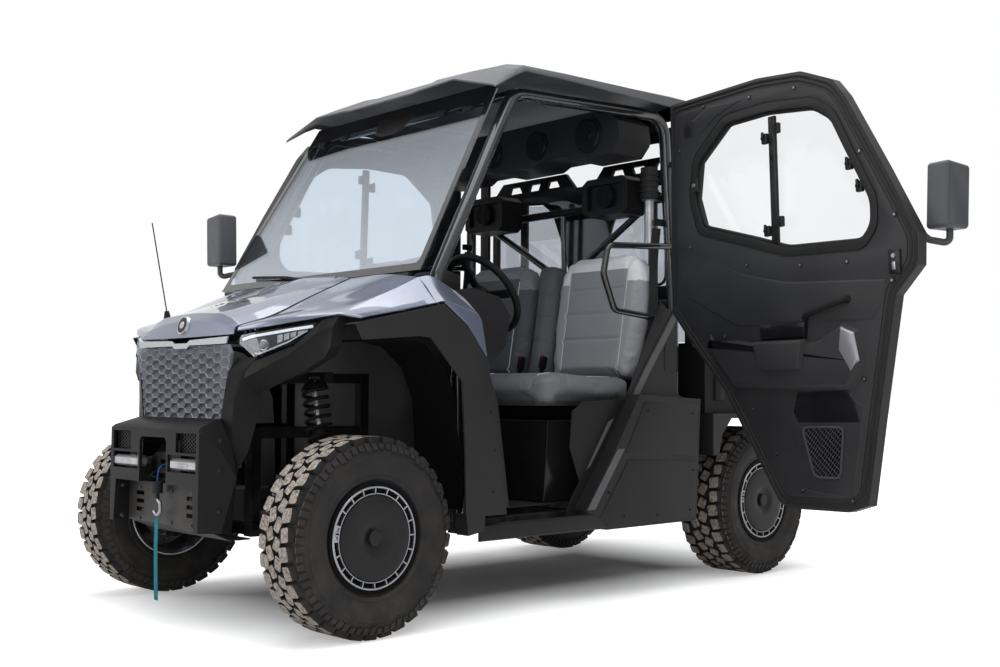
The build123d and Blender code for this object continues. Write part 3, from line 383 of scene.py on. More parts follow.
# Name, colour, second colour, mix, blotch, roughness, spread, metallic and coat.
FINISHES = {finish.name: finish for finish in (
    Finish("tyre_rubber", (0.014, 0.0135, 0.0135), (0.026, 0.024, 0.023), 0.8, 9, 0.66, 0.1,
           grain=Grain.RUBBER, grain_scale=420, relief=0.35, dust=0.12),
    Finish("tread_tops", (0.430, 0.380, 0.330), (0.105, 0.090, 0.078), 0.95, 95, 0.90, 0.05,
           grain=Grain.RUBBER, grain_scale=380, relief=0.5, dust=0.25),
    Finish("rim_gunmetal", (0.26, 0.265, 0.28), (0.17, 0.175, 0.185), 0.6, 8, 0.26, 0.06, 0.85,
           grain=Grain.ORANGE_PEEL, grain_scale=260, relief=0.06),
    Finish("black_cap", (0.009, 0.009, 0.009), (0.016, 0.015, 0.014), 0.6, 12, 0.42, 0.06,
           grain_scale=700, relief=0.12),
    Finish("frame_black", (0.004, 0.004, 0.0045), (0.009, 0.0085, 0.008), 0.7, 5, 0.50, 0.1,
           specular=0.08, grain=Grain.ORANGE_PEEL, grain_scale=240, relief=0.12, dust=0.2),
    Finish("cast_metal", (0.045, 0.045, 0.047), (0.028, 0.028, 0.029), 0.7, 9, 0.55, 0.1, 0.8,
           grain=Grain.CAST, grain_scale=500, relief=0.35, dust=0.2),
    Finish("skid_metal", (0.022, 0.020, 0.019), (0.015, 0.014, 0.0135), 0.8, 7, 0.46, 0.1, 0.35,
           grain=Grain.CAST, grain_scale=300, relief=0.12, dust=0.15),
    Finish("tow_silver", (0.36, 0.36, 0.37), (0.24, 0.24, 0.25), 0.7, 16, 0.42, 0.1, 0.85,
           grain=Grain.CAST, grain_scale=600, relief=0.25),
    Finish("black_plastic", (0.009, 0.009, 0.0095), (0.016, 0.016, 0.016), 0.6, 5, 0.46, 0.07,
           specular=0.08, grain_scale=1100, relief=0.22),
    # Near-black, darker than the black plastic: the liners' own black with painted shade under the arches,
    # also in the wheels' slots and on their barrels.
    Finish("liner_black", (0.0025, 0.0025, 0.0025), (0.005, 0.005, 0.005), 0.6, 5, 0.6, 0.06,
           specular=0.05, grain_scale=900, relief=0.2),
    # A darker copy of the charcoal plastic: painted shade on the sills and on the cab's side trim.
    Finish("sill_black", (0.0095, 0.0095, 0.0100), (0.015, 0.015, 0.0155), 0.6, 4, 0.46, 0.07, **MOULDED),
    Finish("gloss_black", (0.008, 0.008, 0.009), (0.016, 0.016, 0.017), 0.5, 6, 0.16, 0.04,
           grain=Grain.ORANGE_PEEL, grain_scale=180, relief=0.03),
    Finish("grille_plastic", (0.185, 0.190, 0.225), (0.150, 0.155, 0.185), 0.6, 5, 0.34, 0.05, 0.35,
           **FINE),
    Finish("net_grey", (0.055, 0.055, 0.058), (0.035, 0.035, 0.037), 0.5, 14, 0.5, 0.06, **SEAL),
    # A darker copy of the grille's plastic for the hexagons' wells: painted shade in the recesses.
    Finish("grille_well", (0.075, 0.077, 0.092), (0.100, 0.103, 0.122), 0.6, 5, 0.42, 0.06, **FINE),
    Finish("reflector", (0.80, 0.81, 0.83), (0.62, 0.63, 0.65), 0.5, 30, 0.14, 0.05, 0.9,
           grain=Grain.ORANGE_PEEL, grain_scale=300, relief=0.15),
    Finish("projector_glass", (0.10, 0.11, 0.13), (0.22, 0.24, 0.28), 0.5, 30, 0.06, 0.02, coat=1.0,
           grain=Grain.NONE),
    Finish("bright_facet", (0.22, 0.22, 0.23), (0.16, 0.16, 0.17), 0.5, 9, 0.34, 0.05, 0.3, 0.4, **FINE),
    Finish("silver_trim", (0.42, 0.43, 0.45), (0.30, 0.31, 0.33), 0.5, 6, 0.26, 0.05, 0.8, 0.5,
           grain=Grain.ORANGE_PEEL, grain_scale=220, relief=0.03),
    Finish("flare_charcoal", (0.017, 0.017, 0.018), (0.024, 0.024, 0.024), 0.6, 5, 0.50, 0.07, **MOULDED),
    Finish("cage_grey", (0.024, 0.025, 0.028), (0.036, 0.037, 0.040), 0.5, 5, 0.26, 0.05, 0.35, 0.8,
           grain=Grain.ORANGE_PEEL, grain_scale=200, relief=0.05),
    # Charcoal plastic made paler than its own colour: painted light from above on the roof and a painted sky
    # reflection on the mirrors.
    Finish("roof_charcoal", (0.075, 0.077, 0.084), (0.095, 0.097, 0.103), 0.6, 3.5, 0.48, 0.07, **MOULDED),
    Finish("door_charcoal", (0.023, 0.023, 0.0245), (0.034, 0.034, 0.035), 0.6, 4, 0.46, 0.07, **MOULDED),
    Finish("cab_charcoal", (0.013, 0.013, 0.014), (0.021, 0.021, 0.022), 0.6, 5, 0.50, 0.07, **MOULDED),
    Finish("seal_rubber", (0.012, 0.012, 0.012), (0.02, 0.02, 0.02), 0.5, 14, 0.62, 0.06, **SEAL),
    Finish("seat_low", (0.180, 0.182, 0.192), (0.145, 0.147, 0.156), 0.6, 4, 0.52, 0.06, **LEATHER),
    Finish("seat_grey", (0.400, 0.403, 0.418), (0.330, 0.333, 0.348), 0.6, 4, 0.52, 0.06, **LEATHER),
    Finish("seat_dark", (0.130, 0.136, 0.146), (0.165, 0.170, 0.180), 0.6, 4, 0.55, 0.06, **LEATHER),
    Finish("seat_mid", (0.340, 0.345, 0.362), (0.280, 0.285, 0.302), 0.6, 4, 0.52, 0.06, **LEATHER),
    Finish("belt_webbing", (0.020, 0.020, 0.022), (0.035, 0.035, 0.037), 0.6, 30, 0.6, 0.06,
           grain=Grain.WOVEN, grain_scale=420, relief=0.5),
    Finish("frit_black", (0.008, 0.008, 0.009), (0.014, 0.014, 0.015), 0.5, 6, 0.12, 0.03,
           grain=Grain.NONE, coat=1.0),
    Finish("strip_grey", (0.110, 0.111, 0.115), (0.080, 0.081, 0.084), 0.5, 7, 0.45, 0.06,
           grain_scale=900, relief=0.15),
    Finish("seat_silver", (0.90, 0.90, 0.92), (0.80, 0.80, 0.82), 0.6, 6, 0.45, 0.06, grain=Grain.LEATHER,
           grain_scale=420, relief=0.25),
    Finish("piping_white", (0.62, 0.62, 0.63), (0.5, 0.5, 0.5), 0.6, 14, 0.5, 0.05, grain=Grain.RUBBER,
           grain_scale=500, relief=0.1),
    Finish("blue_rope", (0.03, 0.12, 0.40), (0.02, 0.07, 0.25), 0.8, 60, 0.62, 0.06, grain=Grain.WOVEN,
           grain_scale=260, relief=0.4),
    Finish("teal_webbing", (0.012, 0.22, 0.27), (0.01, 0.15, 0.19), 0.8, 40, 0.66, 0.06,
           grain=Grain.WOVEN, grain_scale=420, relief=0.6),
    Finish("hook_steel", (0.30, 0.30, 0.31), (0.18, 0.18, 0.185), 0.7, 20, 0.36, 0.1, 0.9,
           grain=Grain.BRUSHED, grain_scale=400, relief=0.15),
    Finish("bolt_black", (0.010, 0.010, 0.010), (0.03, 0.03, 0.03), 0.6, 30, 0.35, 0.08,
           grain=Grain.ORANGE_PEEL, grain_scale=400, relief=0.1),
    Finish("tail_red", (0.35, 0.006, 0.006), (0.22, 0.004, 0.004), 0.6, 8, 0.12, 0.03,
           grain=Grain.ORANGE_PEEL, grain_scale=140, relief=0.05),
)}
MATERIALS: dict[str, Material] = {}


def paint() -> Material:
    """Build the clear-coated blue grey paint with its fine metal flake."""
    tree = Shader("body_paint")
    flake = tree.ramp(tree.cells(2600), 0.0, 0.55, 0.35, 0.0)
    tone = tree.ramp(tree.noise(2.2, 3.0), 0.3, 0.7)
    base = tree.blend(tone, (0.092, 0.112, 0.165), (0.115, 0.135, 0.190))
    colour = tree.blend(flake, base, (0.32, 0.34, 0.42))
    tree.link(colour, tree.shader.inputs["Base Color"])
    tree.link(tree.ramp(tree.noise(40, 2.0), 0.3, 0.7, 0.33, 0.40), tree.shader.inputs["Roughness"])
    tree.set(Metallic=0.55, Coat_Weight=0.9, Coat_Roughness=0.04)
    tree.bump(tree.noise(150, 2.0), 0.02)
    return tree.material


def tinted_glass(name: str, tint: Point, shine: float = 1.0, film_base: float = 0.03,
        foot: float = 0.0) -> Material:
    """Build thin tinted glass: clear through its tint, with a mirror film that grows to its edges.

    Args:
        name: The material's name.
        tint: The colour of white light after it has passed through.
        shine: Strength of the mirror film towards grazing views.
        film_base: Strength of the mirror film straight on.
        foot: How much stronger the film is at the pane's foot than at its head: a painted reflection,
            brighter low on the pane.

    Returns:
        The material.
    """
    tree = Shader(name)
    dust = tree.ramp(tree.noise(6.0, 6.0), 0.35, 0.8, 0.0, 0.05)
    clear = tree.add("ShaderNodeBsdfTransparent")
    tree.link(tree.blend(dust, tint, tuple(0.8 * value for value in tint)), clear.inputs["Color"])
    film = tree.add("ShaderNodeLayerWeight")
    film.inputs["Blend"].default_value = 0.12
    amount = tree.ramp(film.outputs["Facing"], 0.0, 1.0, film_base, 0.5 * shine)
    # The film grows towards the pane's foot: a painted reflection.
    if foot:
        amount = tree.joined("ADD", amount, tree.ramp(tree.axis("Z"), 1.25, 1.85, foot, 0.0))
    tree.set(Base_Color=(0.80, 0.84, 0.90, 1.0), Metallic=1.0)
    tree.link(tree.ramp(tree.noise(9.0, 4.0), 0.3, 0.7, 0.02, 0.05), tree.shader.inputs["Roughness"])
    mix = tree.add("ShaderNodeMixShader")
    tree.link(amount, mix.inputs["Fac"])
    tree.link(clear.outputs["BSDF"], mix.inputs[1])
    tree.link(tree.shader.outputs["BSDF"], mix.inputs[2])
    tree.link(mix.outputs["Shader"], tree.nodes["Material Output"].inputs["Surface"])
    return tree.material


def lamp_light() -> Material:
    """Build the bright white of a daytime running strip."""
    tree = Shader("lamp_light")
    tone = tree.ramp(tree.noise(60.0, 2.0), 0.3, 0.7)
    colour = tree.blend(tone, (0.85, 0.88, 0.92), (0.95, 0.96, 1.0))
    tree.link(colour, tree.shader.inputs["Base Color"])
    tree.link(colour, tree.shader.inputs["Emission Color"])
    tree.set(Roughness=0.2, Emission_Strength=0.35)
    return tree.material


def material(name: str) -> Material:
    """Give a material by name, building it the first time it is asked for.

    Args:
        name: A finish's name, or one of the special materials.

    Returns:
        The material.
    """
    special: dict[str, Callable[[], Material]] = {
        "body_paint": paint,
        "lamp_light": lamp_light,
        # The windscreen's film is stronger low on the pane: a painted reflection.
        "screen_glass": lambda: tinted_glass("screen_glass", (0.82, 0.88, 0.93), 1.0, 0.12, 0.26),
        "door_glass": lambda: tinted_glass("door_glass", (0.97, 0.975, 0.98), 0.5),
        "rear_glass": lambda: tinted_glass("rear_glass", (0.97, 0.975, 0.98), 0.4),
        "bed_glass": lambda: tinted_glass("bed_glass", (0.66, 0.68, 0.71), 0.6, 0.06),
        "lens_glass": lambda: tinted_glass("lens_glass", (0.86, 0.88, 0.90)),
        "mirror_glass": lambda: finished(Finish("mirror_glass", (0.6, 0.62, 0.64), (0.5, 0.52, 0.54), 0.4, 5,
                                                0.04, 0.01, 1.0, grain=Grain.NONE)),
    }
    if name not in MATERIALS:
        MATERIALS[name] = special[name]() if name in special else finished(FINISHES[name])
    return MATERIALS[name]


# ---------------------------------------------------------------- mesh tools
def linked(name: str, data: bpy.types.ID) -> bpy.types.Object:
    """Put a mesh, curve, camera or light in the scene as an object."""
    obj = bpy.data.objects.new(name, data)
    bpy.context.collection.objects.link(obj)
    return obj


def outwards(bm: BMesh) -> None:
    """Turn every face of a mesh to its outer side."""
    bmesh.ops.recalc_face_normals(bm, faces=bm.faces)


def only(items: Sequence[object], kind: type) -> list:
    """Pick the points, edges or faces out of an operator's mixed result."""
    return [item for item in items if isinstance(item, kind)]


def whole(bm: BMesh) -> list:
    """List everything in a mesh."""
    return bm.verts[:] + bm.edges[:] + bm.faces[:]


def indexed(verts: Sequence[BMVert] | set[BMVert], index: int) -> None:
    """Give the faces round some points a material slot."""
    for face in {face for vert in verts for face in vert.link_faces}:
        face.material_index = index


def bevelled(bm: BMesh, edges: Sequence[BMEdge], offset: float, segments: int, clamp: bool = False) -> None:
    """Round edges.

    Args:
        bm: The mesh.
        edges: The edges.
        offset: Width of the rounding.
        segments: Its segments.
        clamp: Whether the rounding stops short of its neighbours.
    """
    bmesh.ops.bevel(bm, geom=edges, offset=offset, affect="EDGES", segments=segments, profile=0.5,
        material=-1, clamp_overlap=clamp)


def absorb(bm: BMesh, other: BMesh) -> None:
    """Move another mesh's content into a mesh.

    Args:
        bm: The mesh that grows.
        other: The other mesh, which is freed.
    """
    mesh = bpy.data.meshes.new("part")
    other.to_mesh(mesh)
    other.free()
    bm.from_mesh(mesh)
    bpy.data.meshes.remove(mesh)


def chain(bm: BMesh, points: Sequence[Sequence[float]], closed: bool = False) -> list[BMEdge]:
    """Add a chain of edges through some points.

    Args:
        bm: The mesh.
        points: The points.
        closed: Whether the last point is joined to the first.

    Returns:
        The edges.
    """
    verts = [bm.verts.new(point) for point in points]
    return [bm.edges.new(pair) for pair in zip(verts, verts[1:] + (verts[:1] if closed else []))]


def ribbon(bm: BMesh, points: Sequence[Sequence[float]], across: Point, thickness: float) -> None:
    """Add a flat band along a line.

    Args:
        bm: The mesh.
        points: The line along one of the band's edges.
        across: From that edge to the other.
        thickness: The band's thickness.
    """
    made = bmesh.ops.extrude_edge_only(bm, edges=chain(bm, points))["geom"]
    bmesh.ops.translate(bm, verts=only(made, BMVert), vec=across)
    bmesh.ops.solidify(bm, geom=bm.faces[:], thickness=thickness)
    outwards(bm)


def smoothed(bm: BMesh, angle: float) -> None:
    """Shade every face smooth and mark the edges sharper than an angle.

    Args:
        bm: The mesh.
        angle: The angle in degrees.
    """
    limit = math.radians(angle)
    for face in bm.faces:
        face.smooth = True
    for edge in bm.edges:
        sharp = len(edge.link_faces) != 2 or edge.calc_face_angle(0.0) > limit
        edge.smooth = not sharp


def piece(name: str, bm: BMesh, materials: Sequence[str], body: str, angle: float = 32.0,
        replaces: Sequence[str] = ()) -> bpy.types.Object:
    """Make a finished piece from a mesh in vehicle coordinates.

    Args:
        name: The piece's name.
        bm: The mesh, which is freed.
        materials: Material names, in slot order.
        body: The body the piece rides on.
        angle: Edges sharper than this many degrees stay sharp.
        replaces: Frame nodes the piece stands for.

    Returns:
        The object.
    """
    bmesh.ops.translate(bm, verts=bm.verts, vec=-ORIGIN)
    smoothed(bm, angle)
    mesh = bpy.data.meshes.new(name)
    bm.to_mesh(mesh)
    bm.free()
    obj = linked(name, mesh)
    for key in materials:
        mesh.materials.append(material(key))
    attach(obj, body)
    if replaces:
        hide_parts(*replaces)
    return obj


def body_of(node: str) -> str:
    """Give the body that carries a frame node."""
    for body, nodes in frame["record"]["behaviour"]["bodies"].items():
        if node in nodes:
            return body
    raise KeyError(node)


def merged_copy(node: str) -> BMesh:
    """Copy a frame node's mesh with its triangles merged to flat faces, in vehicle coordinates.

    Args:
        node: The node's name.

    Returns:
        The copy.
    """
    bm = bmesh.new()
    bm.from_mesh(frame["nodes"][node].data)
    bmesh.ops.translate(bm, verts=bm.verts, vec=ORIGIN)
    bmesh.ops.remove_doubles(bm, verts=bm.verts, dist=WELD)
    bmesh.ops.dissolve_limit(bm, angle_limit=FLAT, verts=bm.verts, edges=bm.edges, delimit={"NORMAL"})
    for face in bm.faces:
        face.material_index = 0
    return bm


def eased(node: str, finish: str, width: float, segments: int = 2, name: str = "") -> bpy.types.Object:
    """Make a frame node's visible piece: its own shape with its sharp edges rounded.

    Args:
        node: The node's name.
        finish: Its material's name.
        width: The rounding's width.
        segments: The rounding's segments.
        name: The piece's name, or nothing for the node's name and _skin.

    Returns:
        The object.
    """
    obj = piece(name or f"{node}_skin", merged_copy(node), [finish], body_of(node), replaces=[node])
    bevel = obj.modifiers.new("rounded edges", "BEVEL")
    bevel.width = width
    bevel.segments = segments
    bevel.limit_method = "ANGLE"
    bevel.angle_limit = EASED_ANGLE
    bevel.harden_normals = True
    bevel.use_clamp_overlap = True
    return obj


def dress(node: str, finish: str) -> None:
    """Give a frame node that is shown as it is a better material.

    Args:
        node: The node's name.
        finish: The material's name.
    """
    obj = frame["nodes"][node]
    for slot in obj.material_slots:
        slot.material = material(finish)


def spun(profile: Outline, way: int, centre: Vector, steps: int) -> BMesh:
    """Spin a profile a full turn about an axle along X.

    Args:
        profile: Points of (radius, distance along the axle).
        way: 1 or -1, the way along X in which that distance grows.
        centre: A point on the axle.
        steps: Steps in the full turn.

    Returns:
        The spun mesh.
    """
    bm = bmesh.new()
    axis = Vector((way, 0, 0))
    edges = chain(bm, [centre + Vector((0, 0, 1)) * r + axis * a for r, a in profile])
    bmesh.ops.spin(bm, geom=bm.verts[:] + edges, cent=tuple(centre), axis=tuple(axis), angle=math.tau,
        steps=steps, use_merge=True, use_duplicate=False)
    bmesh.ops.remove_doubles(bm, verts=bm.verts, dist=1e-6)
    outwards(bm)
    return bm


def add_box(bm: BMesh, size: Point, matrix: Matrix, bevel: float = 0.0, segments: int = 1,
        index: int = 0) -> None:
    """Add a block to a mesh.

    Args:
        bm: The mesh.
        size: The block's size.
        matrix: Its place.
        bevel: Width of its edge rounding.
        segments: Segments of the rounding.
        index: Its material slot.
    """
    made = bmesh.ops.create_cube(bm, size=1.0, matrix=matrix @ Matrix.Diagonal((*size, 1.0)))["verts"]
    indexed(made, index)
    if bevel:
        bevelled(bm, list({edge for vert in made for edge in vert.link_edges}), bevel, segments)


def add_disc(bm: BMesh, radius: float, depth: float, matrix: Matrix, steps: int = 24, taper: float = 1.0,
        index: int = 0) -> None:
    """Add a round bar or cone, centred on a place with its axis on that place's Z.

    Args:
        bm: The mesh.
        radius: Radius at its low end.
        depth: Its length.
        matrix: Its place.
        steps: Its sides.
        taper: Radius of the high end as a part of the low end's.
        index: Its material slot.
    """
    indexed(bmesh.ops.create_cone(bm, cap_ends=True, segments=steps, radius1=radius, radius2=radius * taper,
        depth=depth, matrix=matrix)["verts"], index)


def plate(bm: BMesh, outline: Outline, place: Matrix, depth: float, bevel: float = 0.0, taper: float = 0.0,
        segments: int = 2, index: int = 0) -> None:
    """Add a flat plate of any outline, raised along its place's Z, with its raised edge rounded.

    Args:
        bm: The mesh.
        outline: Points in the place's X and Y.
        place: The plate's place.
        depth: How far it is raised.
        bevel: Width of the raised edge's rounding.
        taper: How far the raised face is drawn in.
        segments: Segments of the rounding.
        index: Its material slot.
    """
    base = [bm.verts.new(place @ Vector((u, v, 0.0))) for u, v in outline]
    face = bm.faces.new(base)
    made = bmesh.ops.extrude_face_region(bm, geom=[face], use_keep_orig=True)["geom"]
    tops = set(only(made, BMVert))
    lid = only(made, BMFace)[0]
    for vert, (u, v) in zip(base, grown(outline, -taper) if taper else outline):
        top = [edge.other_vert(vert) for edge in vert.link_edges if edge.other_vert(vert) in tops][0]
        top.co = place @ Vector((u, v, depth))
    for item in {item for vert in tops for item in vert.link_faces} | {face}:
        item.material_index = index
    if bevel:
        bevelled(bm, lid.edges[:], bevel, segments)


def ring_plate(bm: BMesh, outer: Outline, inner: Outline, place: Matrix, depth: float, bevel: float = 0.0,
        index: int = 0) -> None:
    """Add a flat plate with a hole, raised along its place's Z.

    Args:
        bm: The mesh.
        outer: The plate's outline.
        inner: The hole's outline.
        place: The plate's place.
        depth: How far it is raised.
        bevel: Width of the rounding on the raised edges.
        index: Its material slot.
    """
    rims = []
    for outline in (outer, inner):
        rims += chain(bm, [place @ Vector((u, v, 0.0)) for u, v in outline], True)
    faces = only(bmesh.ops.triangle_fill(bm, edges=rims, use_dissolve=False)["geom"], BMFace)
    made = bmesh.ops.extrude_face_region(bm, geom=faces, use_keep_orig=True)["geom"]
    tops = set(only(made, BMVert))
    bmesh.ops.translate(bm, verts=list(tops), vec=place.to_3x3() @ Vector((0, 0, depth)))
    for face in {face for vert in tops for face in vert.link_faces} | set(faces):
        face.material_index = index
    if bevel:
        lids = set(only(made, BMFace))
        edges = [edge for edge in {edge for face in lids for edge in face.edges}
            if len([face for face in edge.link_faces if face in lids]) == 1]
        bevelled(bm, edges, bevel, 2, True)


def grown(outline: Outline, amount: float) -> list[Pair]:
    """Offset a closed outline: outwards where the amount is positive.

    Args:
        outline: The outline.
        amount: How far it is offset.

    Returns:
        The new outline.
    """
    area = sum(a[0] * b[1] - b[0] * a[1] for a, b in zip(outline, [*outline[1:], outline[0]]))
    turn = 1 if area > 0 else -1
    result = []
    for before, here, after in zip([outline[-1], *outline[:-1]], outline, [*outline[1:], outline[0]]):
        one = (Vector(here) - Vector(before)).normalized()
        two = (Vector(after) - Vector(here)).normalized()
        out = Vector((one.y + two.y, -one.x - two.x)) * turn
        reach = amount / max(0.35, out.length / 2) if out.length else amount
        result.append(tuple(Vector(here) + out.normalized() * reach))
    return result


def rounded(route: Sequence[Sequence[float]], radius: float, closed: bool = False,
        steps: int = 4) -> list[Vector]:
    """Round the corners of a route.

    Args:
        route: The route's corners, in two or three dimensions.
        radius: How far from a corner its rounding starts.
        closed: Whether the route is a ring.
        steps: Points in each rounding.

    Returns:
        The rounded route.
    """
    points = [Vector(point) for point in route]
    result = []
    for i, here in enumerate(points):
        if not closed and i in (0, len(points) - 1):
            result.append(here)
            continue
        before, after = points[i - 1], points[(i + 1) % len(points)]
        start = here.lerp(before, min(0.49, radius / max(1e-6, (before - here).length)))
        end = here.lerp(after, min(0.49, radius / max(1e-6, (after - here).length)))
        for step in range(steps + 1):
            t = step / steps
            result.append(start.lerp(here, t).lerp(here.lerp(end, t), t))
    return result


def softened(outline: Outline, radius: float, steps: int = 4) -> list[Pair]:
    """Round the corners of a closed outline."""
    return [tuple(point) for point in rounded(outline, radius, True, steps)]


def add_tube(bm: BMesh, route: Sequence[Vector], radius: float, closed: bool = False, sides: int = 2,
        index: int = 0) -> None:
    """Add a round tube along a route.

    Args:
        bm: The mesh.
        route: The route's points.
        radius: The tube's radius.
        closed: Whether the route is a ring.
        sides: Detail of the tube's section.
        index: Its material slot.
    """
    curve = bpy.data.curves.new("route", "CURVE")
    curve.dimensions = "3D"
    spline = curve.splines.new("POLY")
    spline.points.add(len(route) - 1)
    for point, place in zip(spline.points, route):
        point.co = (*place, 1.0)
    spline.use_cyclic_u = closed
    curve.bevel_depth = radius
    curve.bevel_resolution = sides
    curve.use_fill_caps = not closed
    obj = linked("route", curve)
    mesh = bpy.data.meshes.new_from_object(obj)
    bpy.data.objects.remove(obj)
    known = len(bm.faces)
    bm.from_mesh(mesh)
    bm.faces.ensure_lookup_table()
    for face in bm.faces[known:]:
        face.material_index = index
    bpy.data.meshes.remove(mesh)


def faired(lines: Sequence[Sequence[Point]], along: int, across: int,
        creases: Sequence[int] = ()) -> list[list[Vector]]:
    """Blend a few measured lines into many, smooth along and across except at creases.

    Args:
        lines: The measured lines, each with any number of points.
        along: Points in each line given.
        across: Lines given for each gap between measured lines.
        creases: Numbers of the measured lines that stay sharp.

    Returns:
        The new lines.
    """
    def spline(points: Sequence[Vector], t: float) -> Vector:
        """Give the place at t, from 0 to 1, on the smooth line through some points."""
        at = min(t * (len(points) - 1), len(points) - 1 - 1e-9)
        i = int(at)
        f = at - i
        b, c = points[i], points[i + 1]
        a = points[i - 1] if i else b * 2 - c
        d = points[i + 2] if i + 2 < len(points) else c * 2 - b
        return b + (c - a) * (f / 2) + (a * 2 - b * 5 + c * 4 - d) * (f * f / 2) \
            + (b * 3 - a - c * 3 + d) * (f ** 3 / 2)

    fine = [[spline([Vector(point) for point in line], k / (along - 1)) for k in range(along)]
        for line in lines]
    bounds = sorted({0, len(fine) - 1, *creases})
    result = [fine[0]]
    for first, last in zip(bounds, bounds[1:]):
        group = fine[first:last + 1]
        count = across * (last - first)
        result += [[spline([line[k] for line in group], step / count) for k in range(along)]
            for step in range(1, count + 1)]
    return result


def sheet_of(lines: Sequence[Sequence[Vector]], thickness: float) -> BMesh:
    """Bridge a row of lines to one sheet and give it its wall.

    Args:
        lines: The lines, each with the same number of points.
        thickness: The wall's thickness, away from the sheet's face.

    Returns:
        The mesh.
    """
    bm = bmesh.new()
    chains = [chain(bm, line) for line in lines]
    for one, two in zip(chains, chains[1:]):
        bmesh.ops.bridge_loops(bm, edges=one + two)
    outwards(bm)
    if sum(face.normal.z * face.calc_area() for face in bm.faces) < 0:
        bmesh.ops.reverse_faces(bm, faces=bm.faces)
    bmesh.ops.solidify(bm, geom=bm.faces[:], thickness=thickness)
    outwards(bm)
    return bm


def mirrored(bm: BMesh) -> None:
    """Add a mesh's mirror image across the centre plane to it."""
    both = bmesh.ops.duplicate(bm, geom=whole(bm))["geom"]
    bmesh.ops.scale(bm, vec=(-1, 1, 1), verts=only(both, BMVert))
    bmesh.ops.reverse_faces(bm, faces=only(both, BMFace))


def add_screw(bm: BMesh, place: Matrix, radius: float) -> None:
    """Add a washer-headed screw with a hexagonal socket.

    Args:
        bm: The mesh.
        place: Its place, with Z out of the surface.
        radius: The washer's radius.
    """
    add_disc(bm, radius, radius * 0.3, place, 16, 0.86)
    add_disc(bm, radius * 0.62, radius * 0.62, place @ shifted(0, 0, radius * 0.3), 6, 0.96)


